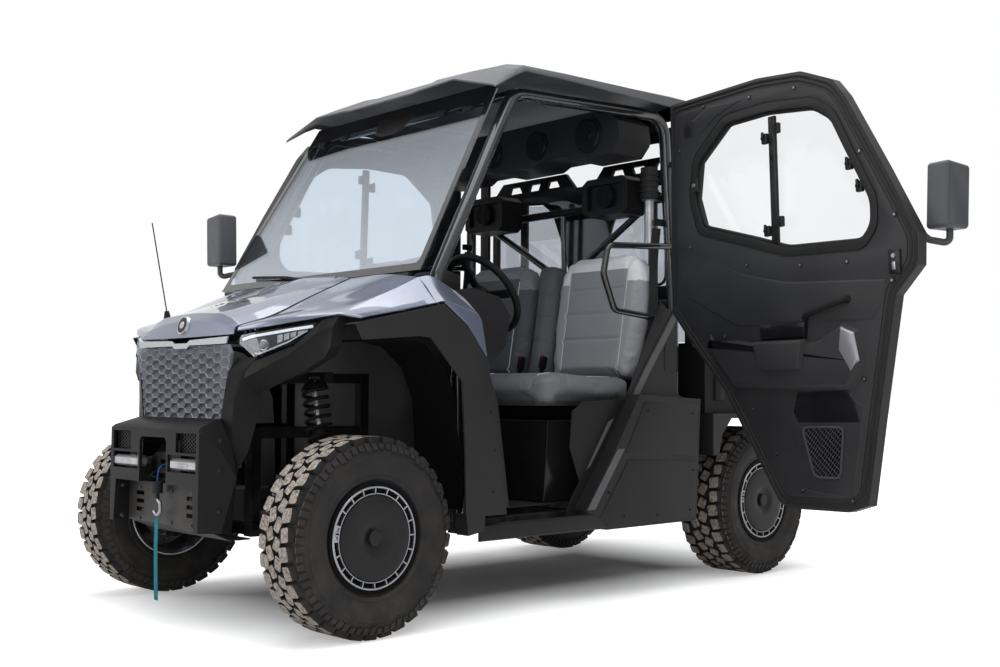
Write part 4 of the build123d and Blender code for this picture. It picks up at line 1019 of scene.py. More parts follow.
# ---------------------------------------------------------------- wheels
@dataclass
class Wheel:
    """One wheel with its tyre.

    Attributes:
        prefix: Name of the corner, such as front_left.
        side: The side of the vehicle.
        x: Distance of the tyre's middle from the centre plane.
        y: The axle's place.
        width: The tyre's width.
        carcass_r: Radius of the tyre under its tread blocks.
        tread_r: Radius over its tread blocks.
        rim_r: Radius of the rim's lip.
        bead_r: Radius at the tyre's bead.
        margin: How far the bead lies in from the tyre's side.
        blocks: Number of shoulder blocks round the tyre.
        cap_r: Radius of the black cap.
        slots: Number of slots round the cap.
        slot_band: Radii between which the slots lie.
        slot_depth: Depth of a slot.
        face_cut: Depth and radius within which the barrel's own face makes way for the new one.
        dark_depth: Depth from the face within which the barrel is near-black, a painted shade inside the
            wheel.
    """

    prefix: str
    side: Side
    x: float
    y: float
    width: float
    carcass_r: float = 0.3225
    tread_r: float = TYRE_R - 0.0006
    rim_r: float = 0.189
    bead_r: float = 0.1775
    margin: float = 0.027
    blocks: int = 34
    cap_r: float = 0.1445
    slots: int = 20
    slot_band: Pair = (0.150, 0.168)
    slot_depth: float = 0.014
    face_cut: Pair = (0.0135, 0.1715)
    dark_depth: float = 0.05

    def centre(self) -> Vector:
        """Give the wheel's middle in vehicle coordinates."""
        return Vector((self.x * self.side.value, self.y, TYRE_R))

    def turned(self, angle: float) -> Matrix:
        """Give the place at an angle round the axle, with Z outwards and X towards the outer side."""
        flip = Matrix.Diagonal((self.side.value, 1, 1, 1))
        return Matrix.Translation(self.centre()) @ Matrix.Rotation(angle, 4, "X") @ flip

    def carcass(self) -> BMesh:
        """Build the tyre's carcass with its side ribs."""
        half = self.width / 2
        bead = half - self.margin
        right = [(self.bead_r + 0.001, bead), (self.rim_r + 0.005, bead),
            (self.rim_r + 0.0085, bead + 0.008), (0.205, bead + 0.0125), (0.207, bead + 0.0145),
            (0.211, bead + 0.0145), (0.213, bead + 0.0135), (0.232, half - 0.0055), (0.252, half - 0.0025),
            (0.270, half - 0.0030), (0.272, half - 0.0018), (0.277, half - 0.0018), (0.279, half - 0.0045),
            (0.296, half - 0.0085), (0.310, half - 0.0175), (0.3175, half - 0.031),
            (self.carcass_r - 0.0015, half - 0.052), (self.carcass_r, half * 0.4)]
        profile = right + [(r, -a) for r, a in reversed(right)]
        return spun(profile, 1, self.centre(), 136)

    def tread(self, bm: BMesh) -> None:
        """Add the tread blocks to the carcass.

        Args:
            bm: The carcass.
        """
        half = self.width / 2
        step = math.tau / self.blocks
        depth = self.tread_r - self.carcass_r + 0.006
        middle = self.tread_r - depth / 2
        for i in range(self.blocks):
            for end in (1, -1):
                angle = step * (i + (0.5 if end < 0 else 0.0))
                wide = 0.055 if i % 2 else 0.045
                place = (self.turned(angle) @ shifted(end * (half - 0.0285 - wide / 2), 0, middle)
                    @ rotated("Z", 9 * end))
                self.block(bm, (wide, 0.0525, depth), place)
                self.biter(bm, angle, end, i)
            for row, offset in ((0.0205, 0.52), (-0.0205, 0.02)):
                angle = step * (i + offset)
                lean = math.radians(-22 if row > 0 else 22)
                place = (self.turned(angle) @ shifted(row * self.width / 0.229, 0, middle)
                    @ Matrix.Rotation(lean, 4, "Z"))
                long = 0.053 if i % 2 else 0.048
                self.block(bm, (0.0385 * self.width / 0.229, long, depth), place)

    def block(self, bm: BMesh, size: Point, place: Matrix) -> None:
        """Add one tapered tread block with cut corners.

        Args:
            bm: The tyre's mesh.
            size: Its size.
            place: Its place.
        """
        verts = bmesh.ops.create_cube(bm, size=1.0, matrix=place @ Matrix.Diagonal((*size, 1.0)))["verts"]
        centre = place.translation
        out = (place.to_3x3() @ Vector((0, 0, 1))).normalized()
        tops = [vert for vert in verts if (vert.co - centre).dot(out) > 0]
        middle = sum((vert.co for vert in tops), Vector()) / len(tops)
        for vert in tops:
            vert.co = middle + (vert.co - middle) * 0.90
        for face in {face for vert in tops for face in vert.link_faces}:
            face.material_index = 1 if all(vert in tops for vert in face.verts) else 0
        rising = [edge for edge in {edge for vert in tops for edge in vert.link_edges}
            if len([vert for vert in edge.verts if vert in tops]) == 1]
        bevelled(bm, rising, 0.11 * min(size[0], size[1]), 1, True)

    def biter(self, bm: BMesh, angle: float, end: int, count: int) -> None:
        """Add one lug on the tyre's shoulder.

        Args:
            bm: The tyre's mesh.
            angle: Its place round the tyre.
            end: 1 on the outer side and -1 on the inner.
            count: Its number, which sets its length.
        """
        half = self.width / 2
        for part, long in ((-0.25, 0.030 if count % 2 else 0.022), (0.25, 0.020 if count % 2 else 0.026)):
            place = (self.turned(angle + part * math.tau / self.blocks)
                @ shifted(end * (half - 0.0160), 0, 0.3105 - long * 0.28) @ rotated("Y", -28 * end))
            self.block(bm, (0.018, 0.021, long), place)

    def build_tyre(self) -> bpy.types.Object:
        """Build the tyre."""
        bm = self.carcass()
        self.tread(bm)
        return piece(f"{self.prefix}_tyre_tread", bm, ["tyre_rubber", "tread_tops"], f"{self.prefix}_wheel",
            30, [f"{self.prefix}_tyre"])

    def ring(self, face: float) -> BMesh:
        """Build the slotted ring round the cap.

        Args:
            face: Distance of the wheel's face from its middle.

        Returns:
            The ring.
        """
        side = self.side.value
        profile = [(0.1745, face - 0.010), (0.1738, face - 0.0020), (0.1722, face), (0.1700, face),
            (0.1465, face - 0.0025), (0.1455, face - 0.004), (self.cap_r, face - 0.012)]
        bm = spun(profile, side, self.centre(), 100)
        flat = {}
        for item in bm.faces:
            off = item.calc_center_median() - self.centre()
            if self.slot_band[0] < math.hypot(off.y, off.z) < self.slot_band[1]:
                turn = math.atan2(off.z, -off.y) % math.tau
                flat.setdefault(int(turn / math.tau * self.slots), []).append(item)
        for number, group in flat.items():
            valve = number == 0
            bmesh.ops.inset_region(bm, faces=group, thickness=0.0060 if valve else 0.0032, depth=0.0)
            bmesh.ops.inset_region(bm, faces=group, thickness=0.0010, depth=0.0)
            for vert in {vert for item in group for vert in item.verts}:
                vert.co.x -= side * (0.004 if valve else self.slot_depth)
            # The slot floors take the near-black finish: painted shade in the slots.
            for item in group:
                item.material_index = 0 if valve else 1
            if valve:
                middle = sum((item.calc_center_median() for item in group), Vector()) / len(group)
                place = Matrix.Translation(middle) @ rotated("Y", 90 * side)
                add_disc(bm, 0.0095, 0.012, place, 6, 0.9)
                add_disc(bm, 0.0040, 0.020, place, 16, 0.9, 1)
        return bm

    def cap(self, bm: BMesh, face: float) -> None:
        """Add the flat black cap with its shallow dome and its centre button.

        Args:
            bm: The wheel's mesh.
            face: Distance of the wheel's face from its middle.
        """
        rim = [(self.cap_r, -0.008), (0.1425, -0.0005), (0.1380, 0.0015), (0.1150, 0.0030),
            (0.0800, 0.0040)]
        dish = [(0.0600, 0.0040), (0.0570, 0.0030), (0.0320, -0.0090), (0.0270, -0.0090)]
        button = [(0.0262, 0.0020), (0.0240, 0.0040), (0.0, 0.0050)]
        disc = spun([(r, face + a) for r, a in rim + dish + button], self.side.value, self.centre(), 96)
        indexed(disc.verts, 2)
        absorb(bm, disc)

    def build_rim(self) -> bpy.types.Object:
        """Build the visible wheel: the frame's barrel with a new slotted face and a black cap."""
        node = f"{self.prefix}_wheel"
        barrel = merged_copy(node)
        centre, side = self.centre(), self.side.value
        reach = [((vert.co.x - centre.x) * side, math.hypot(vert.co.y - centre.y, vert.co.z - centre.z))
            for vert in barrel.verts]
        face = max(a for a, r in reach if r < 0.150)
        gone = []
        for item in barrel.faces:
            off = item.calc_center_median() - centre
            far = max(math.hypot(vert.co.y - centre.y, vert.co.z - centre.z) for vert in item.verts)
            if off.x * side > face - self.face_cut[0] and far < self.face_cut[1]:
                gone.append(item)
        bmesh.ops.delete(barrel, geom=gone, context="FACES")
        bm = self.ring(face)
        self.cap(bm, face)
        # Near the face the barrel takes the near-black finish: painted shade inside the wheel.
        for item in barrel.faces:
            off = item.calc_center_median() - centre
            item.material_index = 1 if off.x * side > face - self.dark_depth else 0
        absorb(bm, barrel)
        return piece(f"{node}_face", bm, ["rim_gunmetal", "liner_black", "black_cap"], body_of(node), 28,
            [node])

    def build(self) -> None:
        """Build the whole wheel."""
        self.build_tyre()
        self.build_rim()
        LOG.info("%s wheel built", self.prefix)


# ---------------------------------------------------------------- carried-over pieces
# Each frame node that keeps its own shape, with its finish and the width of its rounded edges.
PLAIN_PIECES = {
    "frame": ("frame_black", 0.0025), "rack_housing": ("cast_metal", 0.002),
    "hitch_receiver": ("frame_black", 0.0015), "suspension_arms": ("frame_black", 0.0015),
    "front_left_knuckle": ("cast_metal", 0.0025), "front_right_knuckle": ("cast_metal", 0.0025),
    "rear_hub_carriers": ("cast_metal", 0.0025), "axle_drives": ("cast_metal", 0.003),
    "steering_rack": ("hook_steel", 0.001),
    "engine_block": ("cast_metal", 0.006), "muffler": ("skid_metal", 0.003),
    "skid_plates": ("skid_metal", 0.0015), "front_bumper": ("black_plastic", 0.010),
    "winch": ("black_plastic", 0.002), "front_fascia": ("black_plastic", 0.006),
    "silver_strip": ("silver_trim", 0.001),
    # The wheel liners wear the near-black finish: their own black with painted shade under the arches.
    "fender_flares": ("flare_charcoal", 0.004), "wheel_liners": ("liner_black", 0.001),
    # The roof's finish is paler than its plastic: painted light from above.
    "antenna": ("black_plastic", 0.0004), "cage": ("cage_grey", 0.0008), "roof": ("roof_charcoal", 0.003),
    "rear_wall": ("cab_charcoal", 0.001), "floor_pan": ("cab_charcoal", 0.001),
    "seat_base": ("gloss_black", 0.003), "dashboard": ("cab_charcoal", 0.002),
    "steering_wheel": ("black_plastic", 0.002), "overhead_console": ("cab_charcoal", 0.002),
    "left_door": ("door_charcoal", 0.005), "right_door": ("door_charcoal", 0.005),
    # The mirrors wear the roof's paler finish: a painted sky reflection.
    "left_mirror": ("roof_charcoal", 0.012), "right_mirror": ("roof_charcoal", 0.012),
    # The sills wear the darker sill finish: painted shade on their sides.
    "side_sills": ("sill_black", 0.002), "rear_flares": ("flare_charcoal", 0.004),
    "cargo_bed": ("black_plastic", 0.004), "tailgate": ("black_plastic", 0.004),
    "tail_lamps": ("tail_red", 0.003), "winch_hook": ("hook_steel", 0.001),
}


def recoloured(obj: bpy.types.Object, finish: str, low: Point, high: Point) -> None:
    """Give the faces of a piece inside a box another finish.

    Args:
        obj: The piece.
        finish: The finish's name.
        low: The box's low corner in vehicle coordinates.
        high: Its high corner.
    """
    mesh = obj.data
    mesh.materials.append(material(finish))
    for face in mesh.polygons:
        middle = face.center + ORIGIN
        if all(a <= value <= b for a, value, b in zip(low, middle, high)):
            face.material_index = len(mesh.materials) - 1


def carry_over() -> None:
    """Make the visible pieces that keep their frame node's own shape."""
    for node, (finish, width) in PLAIN_PIECES.items():
        obj = eased(node, finish, width)
        if node == "cage":
            recoloured(obj, "black_plastic", (-0.56, 1.555, 1.625), (0.56, 1.705, 1.806))
            recoloured(obj, "seal_rubber", (0.556, 1.59, 1.684), (0.65, 1.69, 1.835))
            recoloured(obj, "tow_silver", (0.574, 1.61, 1.47), (0.626, 1.67, 1.688))
        if node == "winch_hook":
            recoloured(obj, "seal_rubber", (-0.03, -0.5, 0.4425), (0.03, -0.3, 0.51))
    for node, finish in (("windscreen", "screen_glass"), ("rear_window", "rear_glass"),
            ("left_door_glass", "door_glass"), ("right_door_glass", "door_glass")):
        dress(node, finish)


# ---------------------------------------------------------------- nose
@dataclass
class Grille:
    """The grille panel: a mesh of long hexagons, each sloping back from its lower edge.

    Attributes:
        half: Half width of one hexagon.
        rise: Half height of one hexagon.
        front: The panel's front face.
        rim: Width of the web between hexagons.
        depth: Depth of a hexagon at its top.
    """

    half: float = 0.0335
    rise: float = 0.0178
    front: float = -0.2995
    rim: float = 0.0034
    depth: float = 0.0105
    outline: Outline = ((-0.345, 0.962), (-0.322, 0.992), (0.322, 0.992), (0.345, 0.962), (0.330, 0.900),
        (0.290, 0.722), (-0.290, 0.722), (-0.330, 0.900))

    def cells(self, bm: BMesh) -> None:
        """Lay hexagons side by side over the whole panel.

        Args:
            bm: The mesh.
        """
        pitch = self.half * 1.5
        for column in range(-7, 8):
            for row in range(9):
                z = 0.715 + self.rise * (2 * row + column % 2)
                size = Matrix.Diagonal((self.half, self.rise / math.sin(math.pi / 3), 1, 1))
                turn = rotated("X", 90)
                place = shifted(column * pitch, self.front, z) @ turn @ size
                bmesh.ops.create_circle(bm, cap_ends=True, segments=6, radius=1.0, matrix=place
                    @ rotated("Z", 90))
        bmesh.ops.remove_doubles(bm, verts=bm.verts, dist=2e-4)
        for a, b in zip(self.outline, [*self.outline[1:], self.outline[0]]):
            out = Vector((b[0] - a[0], 0, b[1] - a[1])).cross(Vector((0, 1, 0)))
            bmesh.ops.bisect_plane(bm, geom=whole(bm), dist=1e-5, plane_co=(a[0], self.front, a[1]),
                plane_no=out, clear_outer=True)

    def build(self) -> None:
        """Build the grille."""
        bm = bmesh.new()
        self.cells(bm)
        outwards(bm)
        if sum(face.normal.y for face in bm.faces) > 0:
            bmesh.ops.reverse_faces(bm, faces=bm.faces)
        wells = bm.faces[:]
        bmesh.ops.inset_individual(bm, faces=wells, thickness=self.rim, depth=0.0, use_even_offset=True)
        for face in wells:
            low, high = min(vert.co.z for vert in face.verts), max(vert.co.z for vert in face.verts)
            middle = face.calc_center_median()
            fade = min(1.0, max(0.25, (0.325 - abs(middle.x)) / 0.09)) * min(1.0,
                max(0.4, (0.995 - middle.z) / 0.05))
            # The wells take the darker finish: painted shade in the recesses.
            face.material_index = 1
            for vert in face.verts:
                vert.co.y += 0.0015 + self.depth * fade * (vert.co.z - low) / max(1e-5, high - low)
        border = [edge for edge in bm.edges if edge.is_boundary]
        wall = bmesh.ops.extrude_edge_only(bm, edges=border)["geom"]
        bmesh.ops.translate(bm, vec=(0, 0.011, 0), verts=only(wall, BMVert))
        outwards(bm)
        piece("grille_mesh", bm, ["grille_plastic", "grille_well"], "chassis", 20, ["grille"])
        LOG.info("grille built")


@dataclass
class Headlamps:
    """Both swept lamps: a dark bowl, a projector, a light strip, a reflector and a clear lens."""

    plan: Outline = ((0.338, -0.274), (0.430, -0.258), (0.560, -0.198), (0.642, -0.138))

    def front(self, x: float, back: float) -> float:
        """Give the y of the lens at an x, moved back by some distance.

        Args:
            x: Distance from the centre plane.
            back: How far behind the lens.

        Returns:
            The y.
        """
        for (x0, y0), (x1, y1) in zip(self.plan, self.plan[1:]):
            if x <= x1:
                return y0 + (y1 - y0) * (x - x0) / (x1 - x0) + back
        return self.plan[-1][1] + back

    def line(self, points: Outline, back: float) -> list[Vector]:
        """Lay a line of x and z places behind the lens."""
        return [Vector((x, self.front(x, back), z)) for x, z in points]

    def bowl(self) -> None:
        """Build the dark inside of both lamps."""
        bm = merged_copy("headlamps")
        bmesh.ops.translate(bm, verts=bm.verts, vec=(0, 0.026, 0))
        for side in Side:
            half = [vert for vert in bm.verts if vert.co.x * side.value > 0]
            middle = sum((vert.co for vert in half), Vector()) / len(half)
            bmesh.ops.scale(bm, vec=(0.975, 1.0, 0.93), verts=half, space=Matrix.Translation(-middle))
        piece("headlamp_bowls", bm, ["gloss_black"], "chassis", 30)

    def lights(self) -> None:
        """Build the lights and reflectors inside both lamps."""
        bm = bmesh.new()
        strip = self.line(((0.357, 1.010), (0.400, 1.019), (0.560, 1.041), (0.615, 1.050)), 0.012)
        add_tube(bm, rounded(strip, 0.02), 0.0052)
        trim = self.line(((0.420, 0.962), (0.432, 0.957), (0.540, 0.997), (0.600, 1.036)), 0.012)
        add_tube(bm, rounded(trim, 0.012), 0.0032, index=1)
        spot = Vector((0.452, self.front(0.452, 0.016), 0.988))
        aim = Vector((0.25, -1, 0)).to_track_quat("Z", "Y").to_matrix().to_4x4()
        add_disc(bm, 0.0205, 0.014, Matrix.Translation(spot) @ aim, 32, 0.9, 1)
        add_disc(bm, 0.0255, 0.008, Matrix.Translation(spot + Vector((0, 0.006, 0))) @ aim, 32, 0.9, 2)
        ball = Matrix.Translation(spot + Vector((0.001, -0.004, 0)))
        indexed(bmesh.ops.create_uvsphere(bm, u_segments=24, v_segments=12, radius=0.0165,
            matrix=ball)["verts"], 3)
        for step in range(4):
            x = 0.494 + step * 0.024
            low, high = step * 0.009, step * 0.004
            fin = self.line(((x, 0.994 + low), (x + 0.018, 1.0 + low), (x + 0.020, 1.026 + high),
                (x, 1.021 + high)), 0.020)
            face = bm.faces.new([bm.verts.new(point) for point in fin])
            face.material_index = 4
            bmesh.ops.solidify(bm, geom=[face], thickness=0.003)
        mirrored(bm)
        piece("headlamp_lights", bm,
            ["lamp_light", "silver_trim", "gloss_black", "projector_glass", "reflector"], "chassis", 35)

    def build(self) -> None:
        """Build both lamps."""
        self.bowl()
        self.lights()
        eased("headlamps", "lens_glass", 0.004, 3, "headlamp_lenses")
        LOG.info("headlamps built")


@dataclass
class FrontPanels:
    """The painted lid and shoulders, the badge and the lid's vents.

    Attributes:
        hood_rows: The lid's cross lines: y, half width, height in the middle and height at the edges.
        hood_parts: Places across the lid, as parts of its width.
        wall: Thickness of every panel.
    """

    hood_rows: Sequence[tuple[float, float, float, float]] = ((-0.262, 0.335, 1.116, 1.062),
        (-0.120, 0.325, 1.158, 1.106), (0.060, 0.312, 1.218, 1.188), (0.232, 0.300, 1.281, 1.262))
    hood_parts: Sequence[float] = (0.0, 0.09, 0.19, 0.5, 0.81, 0.91, 1.0)
    wall: float = 0.005

    def hood(self) -> None:
        """Build the lid from its measured cross lines."""
        lines = []
        for part in self.hood_parts:
            line = []
            for y, half, crown, edge in self.hood_rows:
                x = -half + 2 * half * part
                fall = abs(part - 0.5) / 0.31
                z = crown - 0.008 * min(1.0, fall) ** 2
                if part in (0.0, 1.0):
                    z = edge
                elif part in (0.09, 0.91):
                    z = edge + (crown - 0.008 - edge) * 0.60
                line.append((x, y, z))
            lines.append(line)
        rows = faired(lines, 26, 5, (1, 2, 4, 5))
        lip = []
        for line in rows:
            start = line[0]
            part = (start.x / 0.335) ** 2
            chin = [Vector((start.x, -0.3010 + 0.016 * part, 1.0245 + 0.004 * part)),
                Vector((start.x, -0.2985 + 0.014 * part, 1.0500 - 0.010 * part)),
                Vector((start.x, -0.2880 + 0.010 * part, 1.0880 - 0.034 * part))]
            lip.append(chin + line)
        bm = sheet_of(lip, self.wall)
        for side in Side:
            place = shifted(0.192 * side.value, 0.232, 1.268) @ rotated("Y", 90)
            add_disc(bm, 0.0075, 0.045, place, 20)
        piece("hood_lid", bm, ["body_paint"], "hood", 16, ["hood"])

    def badge(self) -> None:
        """Build the plain round badge on the lid's nose."""
        bm = bmesh.new()
        place = shifted(0, -0.2955, 1.0700) @ rotated("X", 76)
        add_disc(bm, 0.0375, 0.012, place, 48, 0.94)
        add_disc(bm, 0.0290, 0.002, place @ shifted(0, 0, 0.0062), 48, 1.0, 1)
        add_disc(bm, 0.0150, 0.004, place @ shifted(0, 0, 0.0068), 48, 0.9)
        piece("hood_badge", bm, ["silver_trim", "gloss_black"], "hood", 30)

    def shoulders(self) -> None:
        """Build both painted shoulders."""
        seam = [(0.343 - (y + 0.276) * 0.07, y, z) for y,
            z in ((-0.276, 1.040), (-0.255, 1.062), (-0.112, 1.106), (0.066, 1.188), (0.238, 1.262))]
        lines = [seam, [(0.520, y, z) for y,
            z in ((-0.222, 1.058), (-0.205, 1.085), (-0.060, 1.128), (0.090, 1.196), (0.240, 1.262))],
            [(0.700, y, z) for y,
            z in ((-0.100, 1.092), (-0.085, 1.100), (-0.020, 1.130), (0.110, 1.180), (0.245, 1.240))],
            [(0.798, y, z) for y,
            z in ((-0.080, 1.078), (-0.060, 1.084), (0.000, 1.096), (0.130, 1.121), (0.252, 1.145))]]
        bm = sheet_of(faired(lines, 28, 9, (2,)), self.wall)
        rest = sheet_of(faired([[(0.700, 0.245, 1.240), (0.716, 0.300, 1.243), (0.716, 0.440, 1.182)],
            [(0.748, 0.245, 1.199), (0.748, 0.300, 1.202), (0.748, 0.440, 1.157)],
            [(0.798, 0.245, 1.144), (0.798, 0.300, 1.150), (0.797, 0.440, 1.117)]], 9, 4), self.wall)
        absorb(bm, rest)
        side = ((0.284, 1.147), (0.300, 1.149), (0.446, 1.115), (0.464, 1.092), (0.484, 1.000),
            (0.491, 0.957), (0.397, 1.070))
        plate(bm, side, side_plane(0.790), 0.007, 0.002)
        outwards(bm)
        mirrored(bm)
        piece("front_shoulders", bm, ["body_paint"], "chassis", 22, ["front_fenders"])

    def vents(self) -> None:
        """Build the two slatted vents on the lid."""
        bm = bmesh.new()
        slope = math.atan2(0.068, 0.180)
        for side in Side:
            place = (shifted(0.086 * side.value, -0.132, 1.1475) @ Matrix.Rotation(slope, 4, "X")
                @ rotated("Z", 8 * side.value))
            add_box(bm, (0.030, 0.112, 0.005), place, 0.0022, 2)
            for step in range(5):
                slat = place @ shifted(0, -0.042 + step * 0.021, 0.0028)
                add_box(bm, (0.020, 0.005, 0.003), slat @ Matrix.Rotation(0.5, 4, "X"), 0.0006, 1, 1)
        piece("hood_vents", bm, ["black_plastic", "gloss_black"], "hood", 30)

    def build(self) -> None:
        """Build every front panel."""
        self.hood()
        self.badge()
        self.shoulders()
        self.vents()
        LOG.info("front panels built")


@dataclass
class BumperTrim:
    """What stands on the bumper: vent meshes, bolts and the bright tow blocks."""

    nose_y: float = -0.410

    def meshes(self, bm: BMesh) -> None:
        """Fill both vents with a honeycomb."""
        for x0 in (-0.310, 0.170):
            net = bmesh.new()
            for row in range(6):
                for column in range(13):
                    x = x0 + column * 0.0118
                    z = 0.614 + 0.01363 * (row + 0.5 * (column % 2))
                    turn = shifted(x, self.nose_y + 0.017, z) @ rotated("X", 90)
                    bmesh.ops.create_circle(net, cap_ends=True, segments=6, radius=0.00787, matrix=turn
                        @ rotated("Z", 90))
            bmesh.ops.remove_doubles(net, verts=net.verts, dist=3e-4)
            for place, out in (((x0, 0, 0), (-1, 0, 0)), ((x0 + 0.140, 0, 0), (1, 0, 0)),
                    ((0, 0, 0.614), (0, 0, -1)), ((0, 0, 0.682), (0, 0, 1))):
                bmesh.ops.bisect_plane(net, geom=whole(net), dist=1e-5, plane_co=place, plane_no=out,
                    clear_outer=True)
            bmesh.ops.inset_individual(net, faces=net.faces[:], thickness=0.0014, depth=0.0)
            web = [face for face in net.faces if len(face.verts) == 4 and face.calc_area() < 2.2e-5]
            bmesh.ops.delete(net, geom=[face for face in net.faces if face not in set(web)],
                context="FACES")
            bmesh.ops.solidify(net, geom=net.faces[:], thickness=0.004)
            absorb(bm, net)

    def build(self) -> None:
        """Build the bumper's trim."""
        bm = bmesh.new()
        self.meshes(bm)
        ahead = rotated("X", 90)
        for x in (-0.262, -0.118, 0.118, 0.262):
            for z in (0.365, 0.476):
                add_screw(bm, shifted(x, -0.3925, z) @ ahead, 0.0085)
        for x in (-0.385, 0.385):
            for z in (0.42, 0.56, 0.66):
                turn = rotated("Z", 38 if x > 0 else -38) @ ahead
                add_screw(bm, shifted(x, -0.3600, z) @ turn, 0.007)
        piece("bumper_trim", bm, ["bolt_black"], "chassis", 30)
        tow = bmesh.new()
        for side in Side:
            middle = shifted(0.216 * side.value, -0.384, 0.571)
            add_box(tow, (0.196, 0.046, 0.040), middle, 0.009)
            add_box(tow, (0.070, 0.006, 0.012), middle @ shifted(0, -0.0225, 0), 0.002)
            add_box(tow, (0.040, 0.186, 0.028), shifted(0.210 * side.value, -0.273, 0.569), 0.003)
        piece("tow_blocks", tow, ["tow_silver"], "chassis", 20, ["tow_hooks"])
        LOG.info("bumper trim built")


# ---------------------------------------------------------------- doors
@dataclass
class Door:
    """The inner trim of one door, laid out on the closed left door by y and z.

    Attributes:
        side: The side of the vehicle.
        hinge: The hinge's x and y.
        opened: How far the door stands open at rest, in degrees.
        inner: Distance of the door's inner face from the centre plane.
        lean_z: Height above which the door leans in.
        lean: How far it leans in for each metre.
    """

    side: Side
    hinge: Pair = (0.746, 1.672)
    opened: float = 0.0
    inner: float = 0.706
    lean_z: float = 1.180
    lean: float = 0.035
    outline: Outline = ((1.648, 2.076), (1.111, 2.076), (0.878, 2.052), (0.718, 1.985), (0.661, 1.917),
        (0.490, 1.627), (0.352, 1.381), (0.358, 1.272), (0.458, 1.175), (0.525, 0.809), (0.589, 0.434),
        (0.686, 0.404), (0.980, 0.395), (1.033, 0.414), (1.181, 0.620), (1.343, 0.842), (1.509, 1.006),
        (1.606, 1.104), (1.672, 1.176), (1.672, 1.300))
    window: Outline = ((1.298, 1.934), (1.062, 1.937), (0.824, 1.909), (0.735, 1.853), (0.664, 1.718),
        (0.555, 1.519), (0.556, 1.433), (0.607, 1.377), (0.975, 1.389), (1.168, 1.445), (1.461, 1.523),
        (1.505, 1.656), (1.479, 1.802))

    @property
    def body(self) -> str:
        """Name the body that the door is."""
        return "left_door" if self.side is Side.LEFT else "right_door"

    def swing(self) -> Matrix:
        """Give the turn from the closed left door to this door as it stands."""
        x, y = self.hinge
        pivot = shifted(x, y, 0)
        turn = pivot @ rotated("Z", self.opened) @ pivot.inverted()
        return Matrix.Diagonal((self.side.value, 1, 1, 1)) @ turn

    def plane(self, lift: float) -> Matrix:
        """Give the upright inner face as a place: X along y, Y up and Z towards the cab.

        Args:
            lift: Distance from the face towards the cab.

        Returns:
            The place.
        """
        return Matrix(((0, 0, -1, self.inner - lift), (1, 0, 0, 0), (0, 1, 0, 0), (0, 0, 0, 1)))

    def seat(self, bm: BMesh) -> None:
        """Bend pieces laid on the upright plane so that they lean with the door, then swing them."""
        for vert in bm.verts:
            vert.co.x -= self.lean * max(0.0, vert.co.z - self.lean_z)
        bmesh.ops.transform(bm, matrix=self.swing(), verts=bm.verts)
        if self.side is Side.RIGHT:
            bmesh.ops.reverse_faces(bm, faces=bm.faces)

    def finish(self, name: str, bm: BMesh, materials: Sequence[str], angle: float = 30.0) -> None:
        """Seat a piece on this door and keep it.

        Args:
            name: The piece's name, without the door's.
            bm: Its mesh on the closed, upright left door.
            materials: Its materials.
            angle: Edges sharper than this stay sharp.
        """
        self.seat(bm)
        piece(f"{self.body}_{name}", bm, materials, self.body, angle)

    def rims(self) -> None:
        """Build the two seal beads and the channel round the window."""
        bm = bmesh.new()
        for inset, radius in ((-0.013, 0.0075), (-0.031, 0.0055)):
            line = [Vector((self.inner - 0.0005, y, z)) for y,
                z in rounded(grown(self.outline, inset), 0.03, True)]
            known = len(bm.verts)
            add_tube(bm, line, radius, True, 3)
            bm.verts.ensure_lookup_table()
            for vert in bm.verts[known:]:
                vert.co.x = self.inner + (vert.co.x - self.inner) * 0.62
        outer = softened(grown(self.window, 0.030), 0.035)
        inner = softened(grown(self.window, -0.002), 0.030)
        ring_plate(bm, outer, inner, self.plane(-0.001), 0.0065, 0.004)
        line = [Vector((self.inner + 0.016, y, z)) for y,
            z in rounded(grown(self.window, -0.006), 0.03, True)]
        add_tube(bm, line, 0.0085, True, 3)
        self.finish("seals", bm, ["seal_rubber"])

    def panel(self) -> None:
        """Build the moulded inner panel with its hole for the window and its waist step."""
        bm = bmesh.new()
        edge = softened(grown(self.outline, -0.047), 0.022, 3)
        hole = softened(grown(self.window, 0.036), 0.035, 3)
        ring_plate(bm, edge, hole, self.plane(-0.0005), 0.0035, 0.0022)
        waist = ((0.500, 1.232), (0.975, 1.258), (1.198, 1.303), (1.440, 1.392), (1.560, 1.352),
            (1.560, 1.235), (1.255, 1.098), (0.560, 1.092), (0.512, 1.150))
        rear = ((1.520, 1.780), (1.560, 1.960), (1.400, 2.020), (1.200, 2.010), (1.340, 1.975),
            (1.490, 1.900))
        foot = ((0.900, 0.470), (0.660, 0.455), (0.628, 0.640), (0.600, 0.790), (0.633, 0.800),
            (0.681, 0.848), (0.929, 0.841), (0.960, 0.740), (0.869, 0.488))
        for outline, depth, bevel, taper in ((waist, 0.0035, 0.0022, 0.006), (rear, 0.003, 0.0018, 0.004),
                (foot, 0.002, 0.0012, 0.004)):
            plate(bm, outline, self.plane(0.003), depth, bevel, taper)
        self.finish("panel", bm, ["door_charcoal"])

